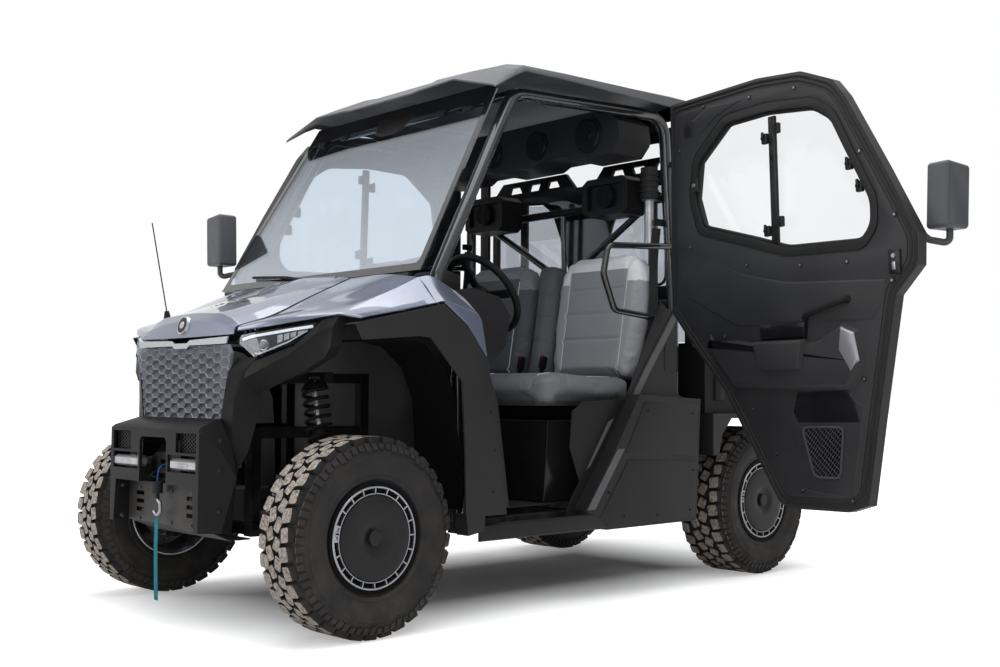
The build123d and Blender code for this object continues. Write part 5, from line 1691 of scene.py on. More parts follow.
    def armrest(self) -> None:
        """Build the bulge with its arm box, its bright front facet and the pull handle."""
        bm = bmesh.new()
        bulge = ((1.429, 1.084), (1.394, 1.045), (1.256, 1.047), (1.145, 1.030), (0.829, 1.028),
            (0.700, 1.090), (0.618, 1.060), (0.590, 0.945), (0.612, 0.885), (0.660, 0.842), (0.960, 0.846),
            (1.041, 0.850), (1.269, 0.852), (1.380, 0.960))
        facet = ((0.690, 1.075), (0.628, 1.050), (0.603, 0.950), (0.640, 0.905), (0.700, 0.990))
        top = ((1.140, 1.034), (0.860, 1.034), (0.880, 0.918), (1.095, 0.918))
        well = ((1.120, 1.105), (0.872, 1.105), (0.878, 1.040), (1.115, 1.040))
        recess = ((0.929, 0.838), (0.681, 0.845), (0.640, 0.800), (0.622, 0.728), (0.925, 0.722),
            (0.950, 0.760))
        # Outline, lift, depth, bevel, taper, segments and material slot.
        for outline, lift, *shape in ((bulge, 0.002, 0.030, 0.007, 0.020, 3, 0),
                (facet, 0.026, 0.009, 0.003, 0.007, 2, 1), (top, 0.028, 0.024, 0.006, 0.010, 3, 0),
                (well, 0.004, 0.018, 0.004, 0.004, 2, 2), (recess, 0.0045, 0.0015, 0.001, 0.002, 1, 2)):
            plate(bm, outline, self.plane(lift), *shape)
        self.finish("armrest", bm, ["door_charcoal", "bright_facet", "gloss_black"])
        handle = bmesh.new()
        route = [Vector((self.inner - lift, y, z)) for y, z, lift in ((0.880, 1.118, 0.004),
            (0.868, 1.120, 0.030), (0.690, 1.168, 0.030), (0.676, 1.172, 0.004))]
        add_tube(handle, rounded(route, 0.018), 0.0105, sides=3)
        for y, z in ((0.882, 1.117), (0.674, 1.173)):
            add_disc(handle, 0.0165, 0.006, shifted(self.inner - 0.0085, y, z) @ rotated("Y", -90), 24,
                0.85)
        self.finish("pull_handle", handle, ["black_plastic"])

    def net(self) -> None:
        """Build the cross-hatched pocket net and its rim."""
        bm = bmesh.new()
        corners = ((0.905, 0.706), (0.698, 0.710), (0.714, 0.525), (0.843, 0.522))
        centre = shifted(self.inner - 0.0078, 0.768, 0.615)
        flat = Matrix(((0, 0, -1, 0), (1, 0, 0, 0), (0, 1, 0, 0), (0, 0, 0, 1)))
        bmesh.ops.create_grid(bm, x_segments=40, y_segments=22, size=1.0, matrix=centre @ flat
            @ rotated("Z", 38) @ Matrix.Diagonal((0.235, 0.20, 1, 1)))
        for a, b in zip(corners, [*corners[1:], corners[0]]):
            out = Vector((0, b[0] - a[0], b[1] - a[1])).cross(Vector((1, 0, 0)))
            middle = Vector((0, 0.768 - a[0], 0.615 - a[1]))
            if out.dot(middle) > 0:
                out = -out
            bmesh.ops.bisect_plane(bm, geom=whole(bm), dist=1e-5, plane_co=(self.inner, *a), plane_no=out,
                clear_outer=True)
        bmesh.ops.wireframe(bm, faces=bm.faces[:], thickness=0.0022, use_replace=True, use_boundary=True,
            use_even_offset=True)
        back = softened(corners, 0.03)
        add_tube(bm, [Vector((self.inner - 0.007, y, z)) for y, z in back], 0.0045, True)
        plate(bm, back, self.plane(0.0045), 0.0012, index=1)
        self.finish("pocket_net", bm, ["net_grey", "gloss_black"])

    def hardware(self) -> None:
        """Build the window's divider and latches, the lock, the check catch and the screws."""
        bm = bmesh.new()
        face = rotated("Y", -90)
        add_box(bm, (0.014, 0.036, 0.500), shifted(self.inner + 0.012, 1.046, 1.664), 0.003, 2)
        for y, z in ((1.012, 1.860), (1.078, 1.829), (1.006, 1.496), (1.079, 1.466), (0.652, 1.662),
                (0.606, 1.575)):
            add_box(bm, (0.018, 0.030, 0.042), shifted(self.inner + 0.002, y, z), 0.005, 2)
            add_disc(bm, 0.009, 0.020, shifted(self.inner - 0.006, y, z) @ face, 20, 0.8)
            add_box(bm, (0.008, 0.012, 0.034), shifted(self.inner - 0.012, y, z + 0.008), 0.003, 2)
        lock, catch, corner = (0.454, 1.290), (1.499, 1.706), (1.522, 1.947)
        for (y, z), size, lift, bevel in ((lock, (0.010, 0.052, 0.086), 0.006, 0.004),
                (catch, (0.010, 0.040, 0.060), 0.004, 0.004),
                (corner, (0.006, 0.060, 0.064), 0.006, 0.003)):
            add_box(bm, size, shifted(self.inner - lift, y, z), bevel, 2)
        add_disc(bm, 0.010, 0.008, shifted(self.inner - 0.012, 0.454, 1.310) @ face, 24, 0.8, 1)
        add_box(bm, (0.005, 0.016, 0.030), shifted(self.inner - 0.012, 0.454, 1.275), 0.002, 2, 1)
        add_disc(bm, 0.010, 0.008, shifted(self.inner - 0.010, 1.499, 1.706) @ face, 20, 0.8, 1)
        for y, z in ((1.336, 1.064), (1.169, 0.770), (1.041, 0.602), (0.903, 0.470), (0.660, 0.447),
                (0.600, 0.884), (0.907, 1.995), (1.154, 2.010), (1.430, 2.028), (1.590, 1.870),
                (1.540, 1.450), (1.197, 1.345), (0.906, 1.318), (0.672, 1.310), (0.470, 1.226),
                (0.450, 1.454), (0.596, 1.700)):
            add_disc(bm, 0.0105, 0.003, shifted(self.inner - 0.0045, y, z) @ face, 20, 0.86)
            add_disc(bm, 0.0052, 0.003, shifted(self.inner - 0.0060, y, z) @ face, 6, 0.96, 1)
        self.finish("hardware", bm, ["bolt_black", "hook_steel"])

    def build(self) -> None:
        """Build the door's trim."""
        self.rims()
        self.panel()
        self.armrest()
        self.net()
        self.hardware()
        LOG.info("%s trim built", self.body)


# ---------------------------------------------------------------- seats
@dataclass
class Pad:
    """One soft cushion or back of the bench.

    Attributes:
        name: Its name.
        x: Its two sides.
        back: Whether it is a back rather than a cushion.
        driver: Whether it wears the light grey cover.
        voxel: Fineness of its cover.
        frames: Frames for which it is filled.
        swell_most: The most that the filling moves the cover.
        split: Where the side panels start, as a part of the half width.
        seam: Half width of a seam.
        wide: Width above which a pad has side panels.
    """

    name: str
    x: Pair
    back: bool
    driver: bool
    voxel: float = 0.006
    frames: int = 14
    swell_most: float = 0.011
    split: float = 0.64
    seam: float = 0.0055
    wide: float = 0.3

    def core(self) -> BMesh:
        """Build the pad's slightly smaller starting shape."""
        bm = bmesh.new()
        x0, x1 = self.x
        middle, half = (x0 + x1) / 2, (x1 - x0) / 2 - 0.008
        if self.back:
            rise, lean = 0.552, 0.092
            up = Vector((0, lean, rise)).normalized()
            out = Vector((0, -up.z, up.y))
            place = Matrix(((1, 0, 0, middle), (0, up.y, out.y, 1.612), (0, up.z, out.z, 0.872),
                (0, 0, 0, 1)))
            right = [(0.86, 0.012), (0.95, 0.100), (1.0, 0.250), (0.990, 0.430), (0.93, 0.505),
                (0.80, 0.555), (0.56, 0.580)]
            if half < 0.15:
                right = [(0.95, 0.012), (1.0, 0.100), (1.0, 0.500), (0.80, 0.560)]
            outline = [(part * half, v) for part, v in right] + [(-part * half, v) for part,
                v in reversed(right)]
            plate(bm, outline, place, 0.096, 0.018, 0.004, 3)
        else:
            side = [(0.984, 0.788), (1.500, 0.788), (1.500, 0.890), (1.300, 0.890), (1.090, 0.904),
                (0.992, 0.888)]
            plate(bm, side, side_plane(middle - half), 2 * half)
            front = [edge for edge in bm.edges if all(abs(vert.co.y - 0.988) < 0.006 for vert in edge.verts)
                and abs(edge.verts[0].co.z - edge.verts[1].co.z) > 0.05]
            bevelled(bm, front, 0.060, 5, True)
        outwards(bm)
        edges = [edge for edge in bm.edges if edge.calc_face_angle(0.0) > 0.6]
        bevelled(bm, edges, 0.020, 4, True)
        return bm

    def swell(self, obj: bpy.types.Object) -> None:
        """Fill the pad by cloth simulation and keep the result.

        Args:
            obj: The pad's object.
        """
        remesh = obj.modifiers.new("remesh", "REMESH")
        remesh.mode = "VOXEL"
        remesh.voxel_size = self.voxel
        deps = bpy.context.evaluated_depsgraph_get()
        mesh = bpy.data.meshes.new_from_object(obj.evaluated_get(deps))
        obj.modifiers.remove(remesh)
        obj.data = mesh
        start = [vert.co.copy() for vert in mesh.vertices]
        cloth = obj.modifiers.new("cloth", "CLOTH")
        cloth.settings.use_pressure = True
        cloth.settings.uniform_pressure_force = 4.0
        cloth.settings.effector_weights.gravity = 0.0
        cloth.settings.quality = 4
        cloth.point_cache.frame_start, cloth.point_cache.frame_end = 1, self.frames
        scene = bpy.context.scene
        for step in range(1, self.frames + 1):
            scene.frame_set(step)
        deps = bpy.context.evaluated_depsgraph_get()
        swollen = bpy.data.meshes.new_from_object(obj.evaluated_get(deps))
        obj.modifiers.remove(cloth)
        for vert, old in zip(swollen.vertices, start):
            move = vert.co - old
            if move.length > self.swell_most:
                vert.co = old + move.normalized() * self.swell_most
        obj.data = swollen
        scene.frame_set(1)

    def panelled(self, obj: bpy.types.Object) -> None:
        """Give the pad's faces their cover panels and press in the seams.

        Args:
            obj: The pad's object.
        """
        bm = bmesh.new()
        bm.from_mesh(obj.data)
        x0, x1 = self.x
        middle, half = (x0 + x1) / 2, (x1 - x0) / 2
        wide = 2 * half > self.wide
        lines = (1.300, 1.190, 1.075) if self.back else (1.080, 1.240)
        out = Vector((0, -1, 0.2)) if self.back else Vector((0, 0, 1))
        for vert in bm.verts:
            here = vert.co + ORIGIN
            across = abs(here.x - middle) / half
            seam = math.exp(-(((across - self.split) * half) / self.seam) ** 2) * 0.006 if wide else 0.0
            if across < self.split:
                for line in lines:
                    gap = (here.z if self.back else here.y) - line
                    seam = max(seam, 0.0045 * math.exp(-(gap / self.seam) ** 2))
            if vert.normal.dot(out) > 0.3:
                vert.co -= vert.normal * seam
        for face in bm.faces:
            here = face.calc_center_median() + ORIGIN
            across = abs(here.x - middle) / half
            face.smooth = True
            face.material_index = 1 if wide and across > self.split else 0
            if self.back and wide and (here.z > 1.386 or (across > self.split and here.z > 1.330)):
                face.material_index = 2
        bm.to_mesh(obj.data)
        bm.free()

    def piping(self, obj: bpy.types.Object) -> None:
        """Lay the piping on the finished cover.

        Args:
            obj: The pad's object.
        """
        x0, x1 = self.x
        middle, half = (x0 + x1) / 2, (x1 - x0) / 2
        bm = bmesh.new()
        for side in Side:
            x = middle + side.value * half * self.split
            if self.back:
                route = [(x, 1.500 + 0.167 * (z - 0.888), z) for z in (0.93, 1.02, 1.12, 1.22, 1.31, 1.372)]
            else:
                route = [(x, y, 0.920) for y in (1.02, 1.10, 1.20, 1.30, 1.40, 1.47)]
            line = []
            for k in range(31):
                at = k / 30 * (len(route) - 1)
                i = min(int(at), len(route) - 2)
                place = placed(Vector(route[i]).lerp(Vector(route[i + 1]), at - i))
                _, spot, normal, _ = obj.closest_point_on_mesh(place)
                line.append(spot + normal * 0.0008 + ORIGIN)
            add_tube(bm, line, 0.0030)
        piece(f"{self.name}_piping", bm, ["piping_white" if self.driver else "seat_silver"], "chassis", 40)

    def build(self) -> None:
        """Build the pad."""
        obj = piece(self.name, self.core(), ["seat_grey", "seat_dark", "seat_silver"], "chassis", 60)
        self.swell(obj)
        self.panelled(obj)
        keys = ("seat_dark", "seat_dark", "seat_mid")
        if self.driver:
            keys = ("seat_mid", "seat_grey", "seat_silver") if self.back else ("seat_low", "seat_low",
                "seat_low")
        for i, key in enumerate(keys):
            obj.data.materials[i] = material(key)
        if self.x[1] - self.x[0] > self.wide:
            self.piping(obj)


@dataclass
class Bench:
    """The three seats with their piping and belt buckles."""

    pads: Sequence[tuple[str, Pair, bool]] = (("passenger", (-0.612, -0.080), False),
        ("middle", (-0.074, 0.066), False), ("driver", (0.072, 0.612), True))

    def buckles(self) -> None:
        """Build the belt buckles between the cushions."""
        bm = bmesh.new()
        for x in (0.069, -0.077):
            lean = rotated("X", -14)
            place = shifted(x, 1.492, 0.905) @ lean
            add_box(bm, (0.006, 0.024, 0.120), place, 0.001)
            add_box(bm, (0.024, 0.032, 0.060), place @ shifted(0, 0, 0.070), 0.005, 2)
            add_box(bm, (0.016, 0.010, 0.012), place @ shifted(0, -0.012, 0.097), 0.002, 1, 1)
        piece("belt_buckles", bm, ["black_plastic", "tail_red"], "chassis", 30)

    def belts(self) -> None:
        """Build the shoulder belts that hang from the pillars."""
        for side in Side:
            bm = bmesh.new()
            route = [(0.636, 1.676, 1.560), (0.628, 1.664, 1.420), (0.640, 1.650, 1.250),
                (0.640, 1.640, 1.080), (0.632, 1.560, 0.900)]
            line = [(x * side.value, y, z) for x, y, z in rounded(route, 0.05)]
            ribbon(bm, line, (-0.012 * side.value, -0.044, 0.0), 0.0014)
            add_box(bm, (0.020, 0.058, 0.030), shifted(0.640 * side.value, 1.662, 1.585), 0.006, 2, 1)
            piece(f"{side.name.lower()}_belt", bm, ["belt_webbing", "black_plastic"], "chassis", 30)

    def build(self) -> None:
        """Build the whole bench."""
        for name, span, driver in self.pads:
            Pad(f"{name}_cushion", span, False, driver).build()
            Pad(f"{name}_back", span, True, driver).build()
        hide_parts("seats")
        self.buckles()
        self.belts()
        LOG.info("bench built")


# ---------------------------------------------------------------- cab interior
@dataclass
class Cab:
    """Dash, display, steering wheel trim, overhead console outlets, speakers and windscreen fittings."""

    def dash(self) -> None:
        """Build the display, the vents and the glove box lines on the dashboard."""
        bm = bmesh.new()
        tilt = rotated("X", -14)
        stand = shifted(0.0, 0.600, 1.300) @ tilt
        add_box(bm, (0.250, 0.030, 0.150), stand, 0.012, 3)
        add_box(bm, (0.228, 0.004, 0.128), stand @ shifted(0, 0.0155, 0.0), 0.001, 1, 1)
        add_box(bm, (0.090, 0.050, 0.050), shifted(0.0, 0.600, 1.218), 0.01, 2)
        hood = shifted(0.360, 0.610, 1.262) @ tilt
        add_box(bm, (0.210, 0.090, 0.085), hood, 0.020, 3)
        add_box(bm, (0.170, 0.004, 0.060), hood @ shifted(0, 0.0455, 0.0), 0.001, 1, 1)
        for x in (-0.560, -0.180, 0.150, 0.565):
            vent = shifted(x, 0.752, 1.090) @ rotated("X", -24)
            add_disc(bm, 0.042, 0.018, vent @ rotated("X", -90), 32, 0.94)
            for step in range(4):
                add_box(bm, (0.058, 0.005, 0.004), vent @ shifted(0, 0.010, -0.018 + 0.012 * step), 0.001,
                    1, 1)
        for x in range(6):
            add_box(bm, (0.026, 0.008, 0.034), shifted(-0.075 + x * 0.030, 0.742, 1.005)
                @ rotated("X", -14), 0.003, 2, 1)
        piece("dash_trim", bm, ["cab_charcoal", "gloss_black"], "chassis", 30)

    def wheel(self) -> None:
        """Build the silver spokes and the cap of the steering wheel."""
        foot, head = Vector((0.360, 0.700, 1.120)), Vector((0.360, 0.862, 1.236))
        axis = (head - foot).normalized()
        turn = axis.to_track_quat("Z", "Y").to_matrix().to_4x4()
        place = Matrix.Translation(head) @ turn
        bm = bmesh.new()
        for angle in (0, 180, 90):
            arm = place @ rotated("Z", angle) @ shifted(0.106, 0, -0.005)
            add_box(bm, (0.092, 0.022, 0.006), arm, 0.0025, 2)
        add_disc(bm, 0.041, 0.012, place @ shifted(0, 0, 0.001), 40, 0.86, 1)
        piece("steering_wheel_trim", bm, ["silver_trim", "gloss_black"], body_of("steering_wheel"), 30)

    def hoop(self, bm: BMesh, centre: Point, radius: float, wire_r: float, steps: int) -> None:
        """Add a thin upright ring that faces along y.

        Args:
            bm: The mesh.
            centre: The ring's middle.
            radius: Its radius.
            wire_r: Its wire's radius.
            steps: Its sides.
        """
        x, y, z = centre
        angles = [math.tau * k / steps for k in range(steps)]
        add_tube(bm, [Vector((x + radius * math.cos(t), y, z + radius * math.sin(t))) for t in angles],
            wire_r, True, 1)

    def outlets(self) -> None:
        """Build the round outlets on the overhead console and the speakers' rings and cones."""
        bm = bmesh.new()
        ahead = rotated("X", 90)
        for x in (-0.47, -0.15, 0.15, 0.47):
            centre = shifted(x, 1.3835, 1.958) @ ahead
            radius = 0.082 if abs(x) > 0.3 else 0.070
            add_disc(bm, radius, 0.010, centre, 48, 0.95)
            add_disc(bm, radius * 0.82, 0.004, centre @ shifted(0, 0, 0.006), 48, 0.95, 1)
            add_disc(bm, radius * 0.30, 0.010, centre @ shifted(0, 0, 0.009), 32, 0.7)
            for step in range(3):
                self.hoop(bm, (x, 1.3765, 1.958), radius * (0.42 + 0.14 * step), 0.0022, 40)
        for side in Side:
            centre = shifted(0.405 * side.value, 1.5575, 1.717) @ ahead
            bmesh.ops.create_circle(bm, cap_ends=True, segments=48, radius=0.050, matrix=centre)
            add_disc(bm, 0.052, 0.006, centre @ shifted(0, 0, -0.006), 48, 1.0, 1)
            for radius in (0.044, 0.034, 0.024, 0.014):
                self.hoop(bm, (0.405 * side.value, 1.553, 1.717), radius, 0.0020, 36)
        piece("outlets_and_speakers", bm, ["black_plastic", "gloss_black"], "chassis", 30)

    def band(self) -> None:
        """Build the dark printed band round the windscreen with its latches and sensor cover."""
        foot, head = Vector((0, 0.262, 1.268)), Vector((0, 0.715, 2.045))
        slope = (head - foot).normalized()
        out = Vector((0, -slope.z, slope.y))
        place = Matrix(((1, 0, 0, foot.x), (0, slope.y, out.y, foot.y), (0, slope.z, out.z, foot.z),
            (0, 0, 0, 1)))
        length = (head - foot).length
        bm = bmesh.new()
        outer = ((-0.690, 0.0), (0.690, 0.0), (0.612, length), (-0.612, length))
        inner = softened(((-0.658, 0.034), (0.658, 0.034), (0.592, length - 0.100), (0.300, length - 0.084),
            (0.130, length - 0.080), (-0.130, length - 0.080), (-0.300, length - 0.084),
            (-0.592, length - 0.100)), 0.03)
        ring_plate(bm, outer, inner, place @ shifted(0, 0, 0.0004), 0.0012)
        cover = ((-0.120, length - 0.050), (-0.095, length - 0.128), (-0.040, length - 0.150),
            (0.040, length - 0.150), (0.095, length - 0.128), (0.120, length - 0.050))
        plate(bm, cover, place @ shifted(0, 0, 0.0016), 0.006, 0.003, 0.006, 2, 1)
        for side in Side:
            for x, y in ((0.500, length - 0.115), (0.330, length - 0.100)):
                add_box(bm, (0.052, 0.028, 0.012), place @ shifted(x * side.value, y, 0.006), 0.004, 2, 1)
        wiper = [place @ Vector(point)
            for point in ((0.02, -0.008, 0.014), (-0.18, 0.030, 0.012), (-0.46, 0.052, 0.010))]
        add_tube(bm, rounded(wiper, 0.05), 0.006, index=1)
        piece("windscreen_band", bm, ["frit_black", "black_plastic"], "chassis", 30)

    def rear_frame(self) -> None:
        """Build the seal round the rear window."""
        bm = bmesh.new()
        route = [Vector((x, 1.7675, z)) for x,
            z in ((-0.590, 1.322), (0.590, 1.322), (0.590, 1.975), (-0.590, 1.975))]
        add_tube(bm, rounded(route, 0.05, True), 0.007, True)
        piece("rear_window_seal", bm, ["seal_rubber"], "chassis", 40)

    def build(self) -> None:
        """Build the whole interior."""
        self.dash()
        self.wheel()
        self.outlets()
        self.band()
        self.rear_frame()
        LOG.info("cab interior built")


# ---------------------------------------------------------------- suspension springs
@dataclass
class CoilOver:
    """One damper with its coil spring, from its top eye to its bottom eye."""

    top: Point
    foot: Point
    coil_r: float = 0.043
    wire_r: float = 0.0066
    turns: float = 8.5

    def add(self, bm: BMesh) -> None:
        """Add the damper to a mesh.

        Args:
            bm: The mesh.
        """
        top, foot = Vector(self.top), Vector(self.foot)
        along = top - foot
        turn = along.to_track_quat("Z", "Y").to_matrix().to_4x4()

        def at(part: float) -> Matrix:
            """Give the place a part of the way up the damper."""
            return Matrix.Translation(foot + along * part) @ turn

        long = along.length
        add_disc(bm, 0.026, long * 0.50, at(0.28), 28)
        add_disc(bm, 0.010, long * 0.46, at(0.74), 20, 1.0, 1)
        for part, radius in ((0.16, 0.050), (0.19, 0.044), (0.905, 0.050), (0.93, 0.040)):
            add_disc(bm, radius, 0.012, at(part), 36, 0.94)
        for part in (0.0, 1.0):
            eye = at(part) @ rotated("Y", 90)
            add_disc(bm, 0.018, 0.034, eye, 24, 1.0, 2)
            add_disc(bm, 0.009, 0.044, eye, 16, 1.0, 1)
        add_disc(bm, 0.014, long * 0.10, at(0.05), 20)
        line = []
        for k in range(int(self.turns * 20) + 1):
            angle = math.tau * k / 20
            part = 0.195 + 0.705 * k / (self.turns * 20)
            line.append(at(part)
                @ Vector((self.coil_r * math.cos(angle), self.coil_r * math.sin(angle), 0)))
        add_tube(bm, line, self.wire_r)


def build_dampers() -> None:
    """Build the four coil-over dampers."""
    bm = bmesh.new()
    for top, foot in (((0.418, -0.008, 0.880), (0.505, -0.005, 0.492)),
            ((0.375, WHEELBASE - 0.084, 0.710), (0.440, WHEELBASE - 0.084, 0.328))):
        CoilOver(top, foot).add(bm)
    mirrored(bm)
    piece("coil_over_dampers", bm, ["frame_black", "hook_steel", "seal_rubber"], "chassis", 35, ["dampers"])
    LOG.info("dampers built")


# ---------------------------------------------------------------- cab sides
@dataclass
class CabSide:
    """What stands on the cab's side below and behind the door.

    Attributes:
        strip: The grey strip's middle line, as places of y and z.
    """

    strip: Outline = ((1.700, 1.176), (1.504, 0.926), (1.280, 0.609), (1.096, 0.372))

    def trim(self) -> None:
        """Build the strip, the sill's rail, the side panels and their screws."""
        bm = bmesh.new()
        upper, lower = [], []
        for i, (y, z) in enumerate(self.strip):
            a, b = Vector(self.strip[max(0, i - 1)]), Vector(self.strip[min(3, i + 1)])
            along = (b - a).normalized()
            across = Vector((-along.y, along.x)) * 0.017
            upper.append((y + across.x, z + across.y))
            lower.append((y - across.x, z - across.y))
        plate(bm, upper + lower[::-1], side_plane(0.6998), 0.0010, index=1)
        foot = ((1.250, 0.604), (1.292, 0.604), (1.112, 0.366), (1.068, 0.366))
        plate(bm, foot, side_plane(0.7572), 0.0050, 0.001, 0.001, index=1)
        slash = ((1.291, 0.726), (1.258, 0.712), (1.126, 0.522), (1.150, 0.536))
        plate(bm, slash, side_plane(0.6985), 0.0014, index=1)
        hatch = softened(((1.625, 0.925), (1.715, 0.925), (1.715, 1.045), (1.625, 1.045)), 0.02)
        add_tube(bm, [Vector((0.6972, y, z)) for y, z in hatch], 0.0022, True, 1)
        rail = ((0.488, 0.286), (1.184, 0.286), (1.110, 0.350), (0.488, 0.350))
        plate(bm, rail, side_plane(0.7560), 0.0090, 0.003, 0.006, 2)
        for k in range(6):
            y = 0.560 + k * 0.100
            outline = ((y, 0.316), (y + 0.070, 0.316), (y + 0.078, 0.338), (y + 0.008, 0.338))
            plate(bm, outline, side_plane(0.7605), 0.0030, 0.001, 0.002)
        crease = ((1.302, 0.604), (1.418, 0.800), (1.780, 0.784), (1.772, 0.560), (1.300, 0.585))
        plate(bm, crease, side_plane(0.7575), 0.0040, 0.002, 0.006, 2)
        slab = ((1.205, 0.292), (1.752, 0.292), (1.766, 0.540), (1.312, 0.562), (1.136, 0.330))
        plate(bm, slab, side_plane(0.7575), 0.0040, 0.002, 0.006, 2)
        turn = rotated("Y", 90)
        for y, z in ((1.290, 0.330), (1.500, 0.320), (1.720, 0.330), (1.740, 0.500), (1.740, 0.745),
                (1.440, 0.760), (1.200, 0.430)):
            add_screw(bm, shifted(0.7620, y, z) @ turn, 0.0065)
        for y, z in ((0.520, 0.470), (0.528, 0.620), (0.508, 0.760)):
            add_screw(bm, shifted(0.8000, y, z) @ turn, 0.0060)
        mirrored(bm)
        # The trim's main finish is the darker sill finish: painted shade on the cab's sides.
        piece("cab_side_trim", bm, ["sill_black", "strip_grey"], "chassis", 30)

    def panes(self) -> None:
        """Build the dark panes of the headboard."""
        panes = bmesh.new()
        inner = ((0.104, 1.064), (0.104, 1.420), (0.172, 1.618), (0.222, 1.736), (0.292, 1.786),
            (0.403, 1.794), (0.403, 1.064))
        outer = ((0.452, 1.064), (0.452, 1.794), (0.560, 1.786), (0.616, 1.738), (0.616, 1.064))
        back = Matrix(((1, 0, 0, 0), (0, 0, -1, 1.874), (0, 1, 0, 0), (0, 0, 0, 1)))
        for outline in (inner, outer):
            plate(panes, outline, back, 0.004)
        mirrored(panes)
        piece("headboard_panes", panes, ["bed_glass"], "cargo_bed", 30)

    def build(self) -> None:
        """Build both sides' trim and the headboard's panes."""
        self.trim()
        self.panes()
        LOG.info("cab sides built")


# ---------------------------------------------------------------- cargo bed
@dataclass
class BedTrim:
    """What stands on the cargo bed and its tailgate.

    Attributes:
        half: Half the bed's width.
        tail: The tailgate's back face.
        top: Height of the walls.
    """

    half: float = 0.735
    tail: float = 2.735
    top: float = 1.040

    def walls(self) -> None:
        """Build the pressed ribs and rail caps of the walls, and the tie-down loops."""
        bm = bmesh.new()
        for k in range(5):
            place = shifted(self.half + 0.001, 1.960 + 0.155 * k, 0.895)
            add_box(bm, (0.012, 0.070, 0.190), place, 0.005, 2)
        add_box(bm, (0.050, 0.835, 0.010), shifted(self.half - 0.020, 2.285, self.top + 0.003), 0.004, 2)
        for y in (2.02, 2.55):
            add_tube(bm, [Vector((self.half - 0.041 - 0.022 * math.sin(t), y + 0.026 * math.cos(t), 0.905))
                for t in (0.0, 0.5, 1.0, 1.57, 2.1, 2.6, math.pi)], 0.0035, False, 2, 1)
            add_box(bm, (0.004, 0.080, 0.030), shifted(self.half - 0.042, y, 0.905), 0.001, 1, 1)
        mirrored(bm)
        piece("bed_wall_trim", bm, ["black_plastic", "hook_steel"], "cargo_bed", 30)

    def gate(self) -> None:
        """Build the tailgate's handle, its raised frame and its screws."""
        bm = bmesh.new()
        back = Matrix(((-1, 0, 0, 0), (0, 0, 1, self.tail - 0.006), (0, 1, 0, 0.912), (0, 0, 0, 1)))
        outer = softened(((-0.505, -0.070), (0.505, -0.070), (0.505, 0.070), (-0.505, 0.070)), 0.02)
        inner = [(x * 0.982, z * 0.86) for x, z in outer]
        ring_plate(bm, outer, inner, back, 0.005)
        handle = softened(((-0.090, -0.028), (0.090, -0.028), (0.078, 0.028), (-0.078, 0.028)), 0.012)
        plate(bm, handle, back, 0.004, index=1)
        add_box(bm, (0.130, 0.010, 0.018), shifted(0, self.tail + 0.0015, 0.922), 0.004, 2)
        turn = rotated("X", -90)
        for x in (-0.640, -0.560, 0.560, 0.640):
            for z in (0.800, 1.010):
                add_screw(bm, shifted(x, self.tail + 0.0005, z) @ turn, 0.008)
        piece("tailgate_trim", bm, ["black_plastic", "gloss_black"], "tailgate", 30)

    def build(self) -> None:
        """Build the bed's trim."""
        self.walls()
        self.gate()
        LOG.info("bed trim built")


# ---------------------------------------------------------------- winch line
# Points of the rope and the strap, from their upper ends down.
ROPE_ROUTE = ((0, -0.347, 0.566), (0, -0.368, 0.564), (0, -0.383, 0.549), (0, -0.388, 0.526),
    (0, -0.388, 0.495))
STRAP_ROUTE = ((0, -0.388, 0.3739), (0.002, -0.389, 0.330), (0.003, -0.391, 0.280), (0.002, -0.389, 0.230),
    (0, -0.387, 0.180), (0, -0.385, 0.130), (0.001, -0.385, 0.080))


def smooth_line(name: str, route: Sequence[Point]) -> bpy.types.Object:
    """Make an open NURBS curve along a route.

    Args:
        name: The curve's name.
        route: Its control points in vehicle coordinates.

    Returns:
        The curve's object.
    """
    curve = bpy.data.curves.new(name, "CURVE")
    curve.dimensions = "3D"
    spline = curve.splines.new("NURBS")
    spline.points.add(len(route) - 1)
    for point, place in zip(spline.points, route):
        point.co = (*placed(place), 1.0)
    spline.order_u = 3
    spline.use_endpoint_u = True
    curve.resolution_u = 12
    return linked(name, curve)


@dataclass
class WinchLine:
    """The rope from the winch and the strap under its hook."""

    rope_r: float = 0.003
    strap: Pair = (0.025, 0.0025)

    def rope(self) -> None:
        """Build the rope."""
        obj = smooth_line("winch_rope_line", ROPE_ROUTE)
        obj.data.bevel_depth = self.rope_r
        obj.data.materials.append(material("blue_rope"))
        obj.data.use_fill_caps = True
        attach(obj, "chassis")
        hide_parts("winch_rope")

    def webbing(self) -> None:
        """Build the strap as a flat band that follows its smooth line."""
        line = smooth_line("strap_line", STRAP_ROUTE)
        points = [line.matrix_world @ vert.co for vert in bpy.data.meshes.new_from_object(line).vertices]
        bpy.data.objects.remove(line)
        width, thick = self.strap
        bm = bmesh.new()
        ribbon(bm, [point + ORIGIN + Vector((-width / 2, 0, 0)) for point in points], (width, 0, 0), thick)
        obj = piece("hook_strap_band", bm, ["teal_webbing"], "chassis", replaces=["hook_strap"])

    def build(self) -> None:
        """Build the whole line."""
        self.rope()
        self.webbing()
        LOG.info("winch line built")


# ---------------------------------------------------------------- studio
def seen_rays(tree: bpy.types.NodeTree) -> NodeSocket:
    """Give 1 for the rays that see the background: from the camera, off metal and paint, and through glass.

    Args:
        tree: The node tree to add to.

    Returns:
        The socket.
    """
    path = tree.nodes.new("ShaderNodeLightPath")
    total = path.outputs["Is Camera Ray"]
    for name in ("Is Glossy Ray", "Is Transmission Ray"):
        either = tree.nodes.new("ShaderNodeMath")
        either.operation = "MAXIMUM"
        tree.links.new(total, either.inputs[0])
        tree.links.new(path.outputs[name], either.inputs[1])
        total = either.outputs["Value"]
    return total


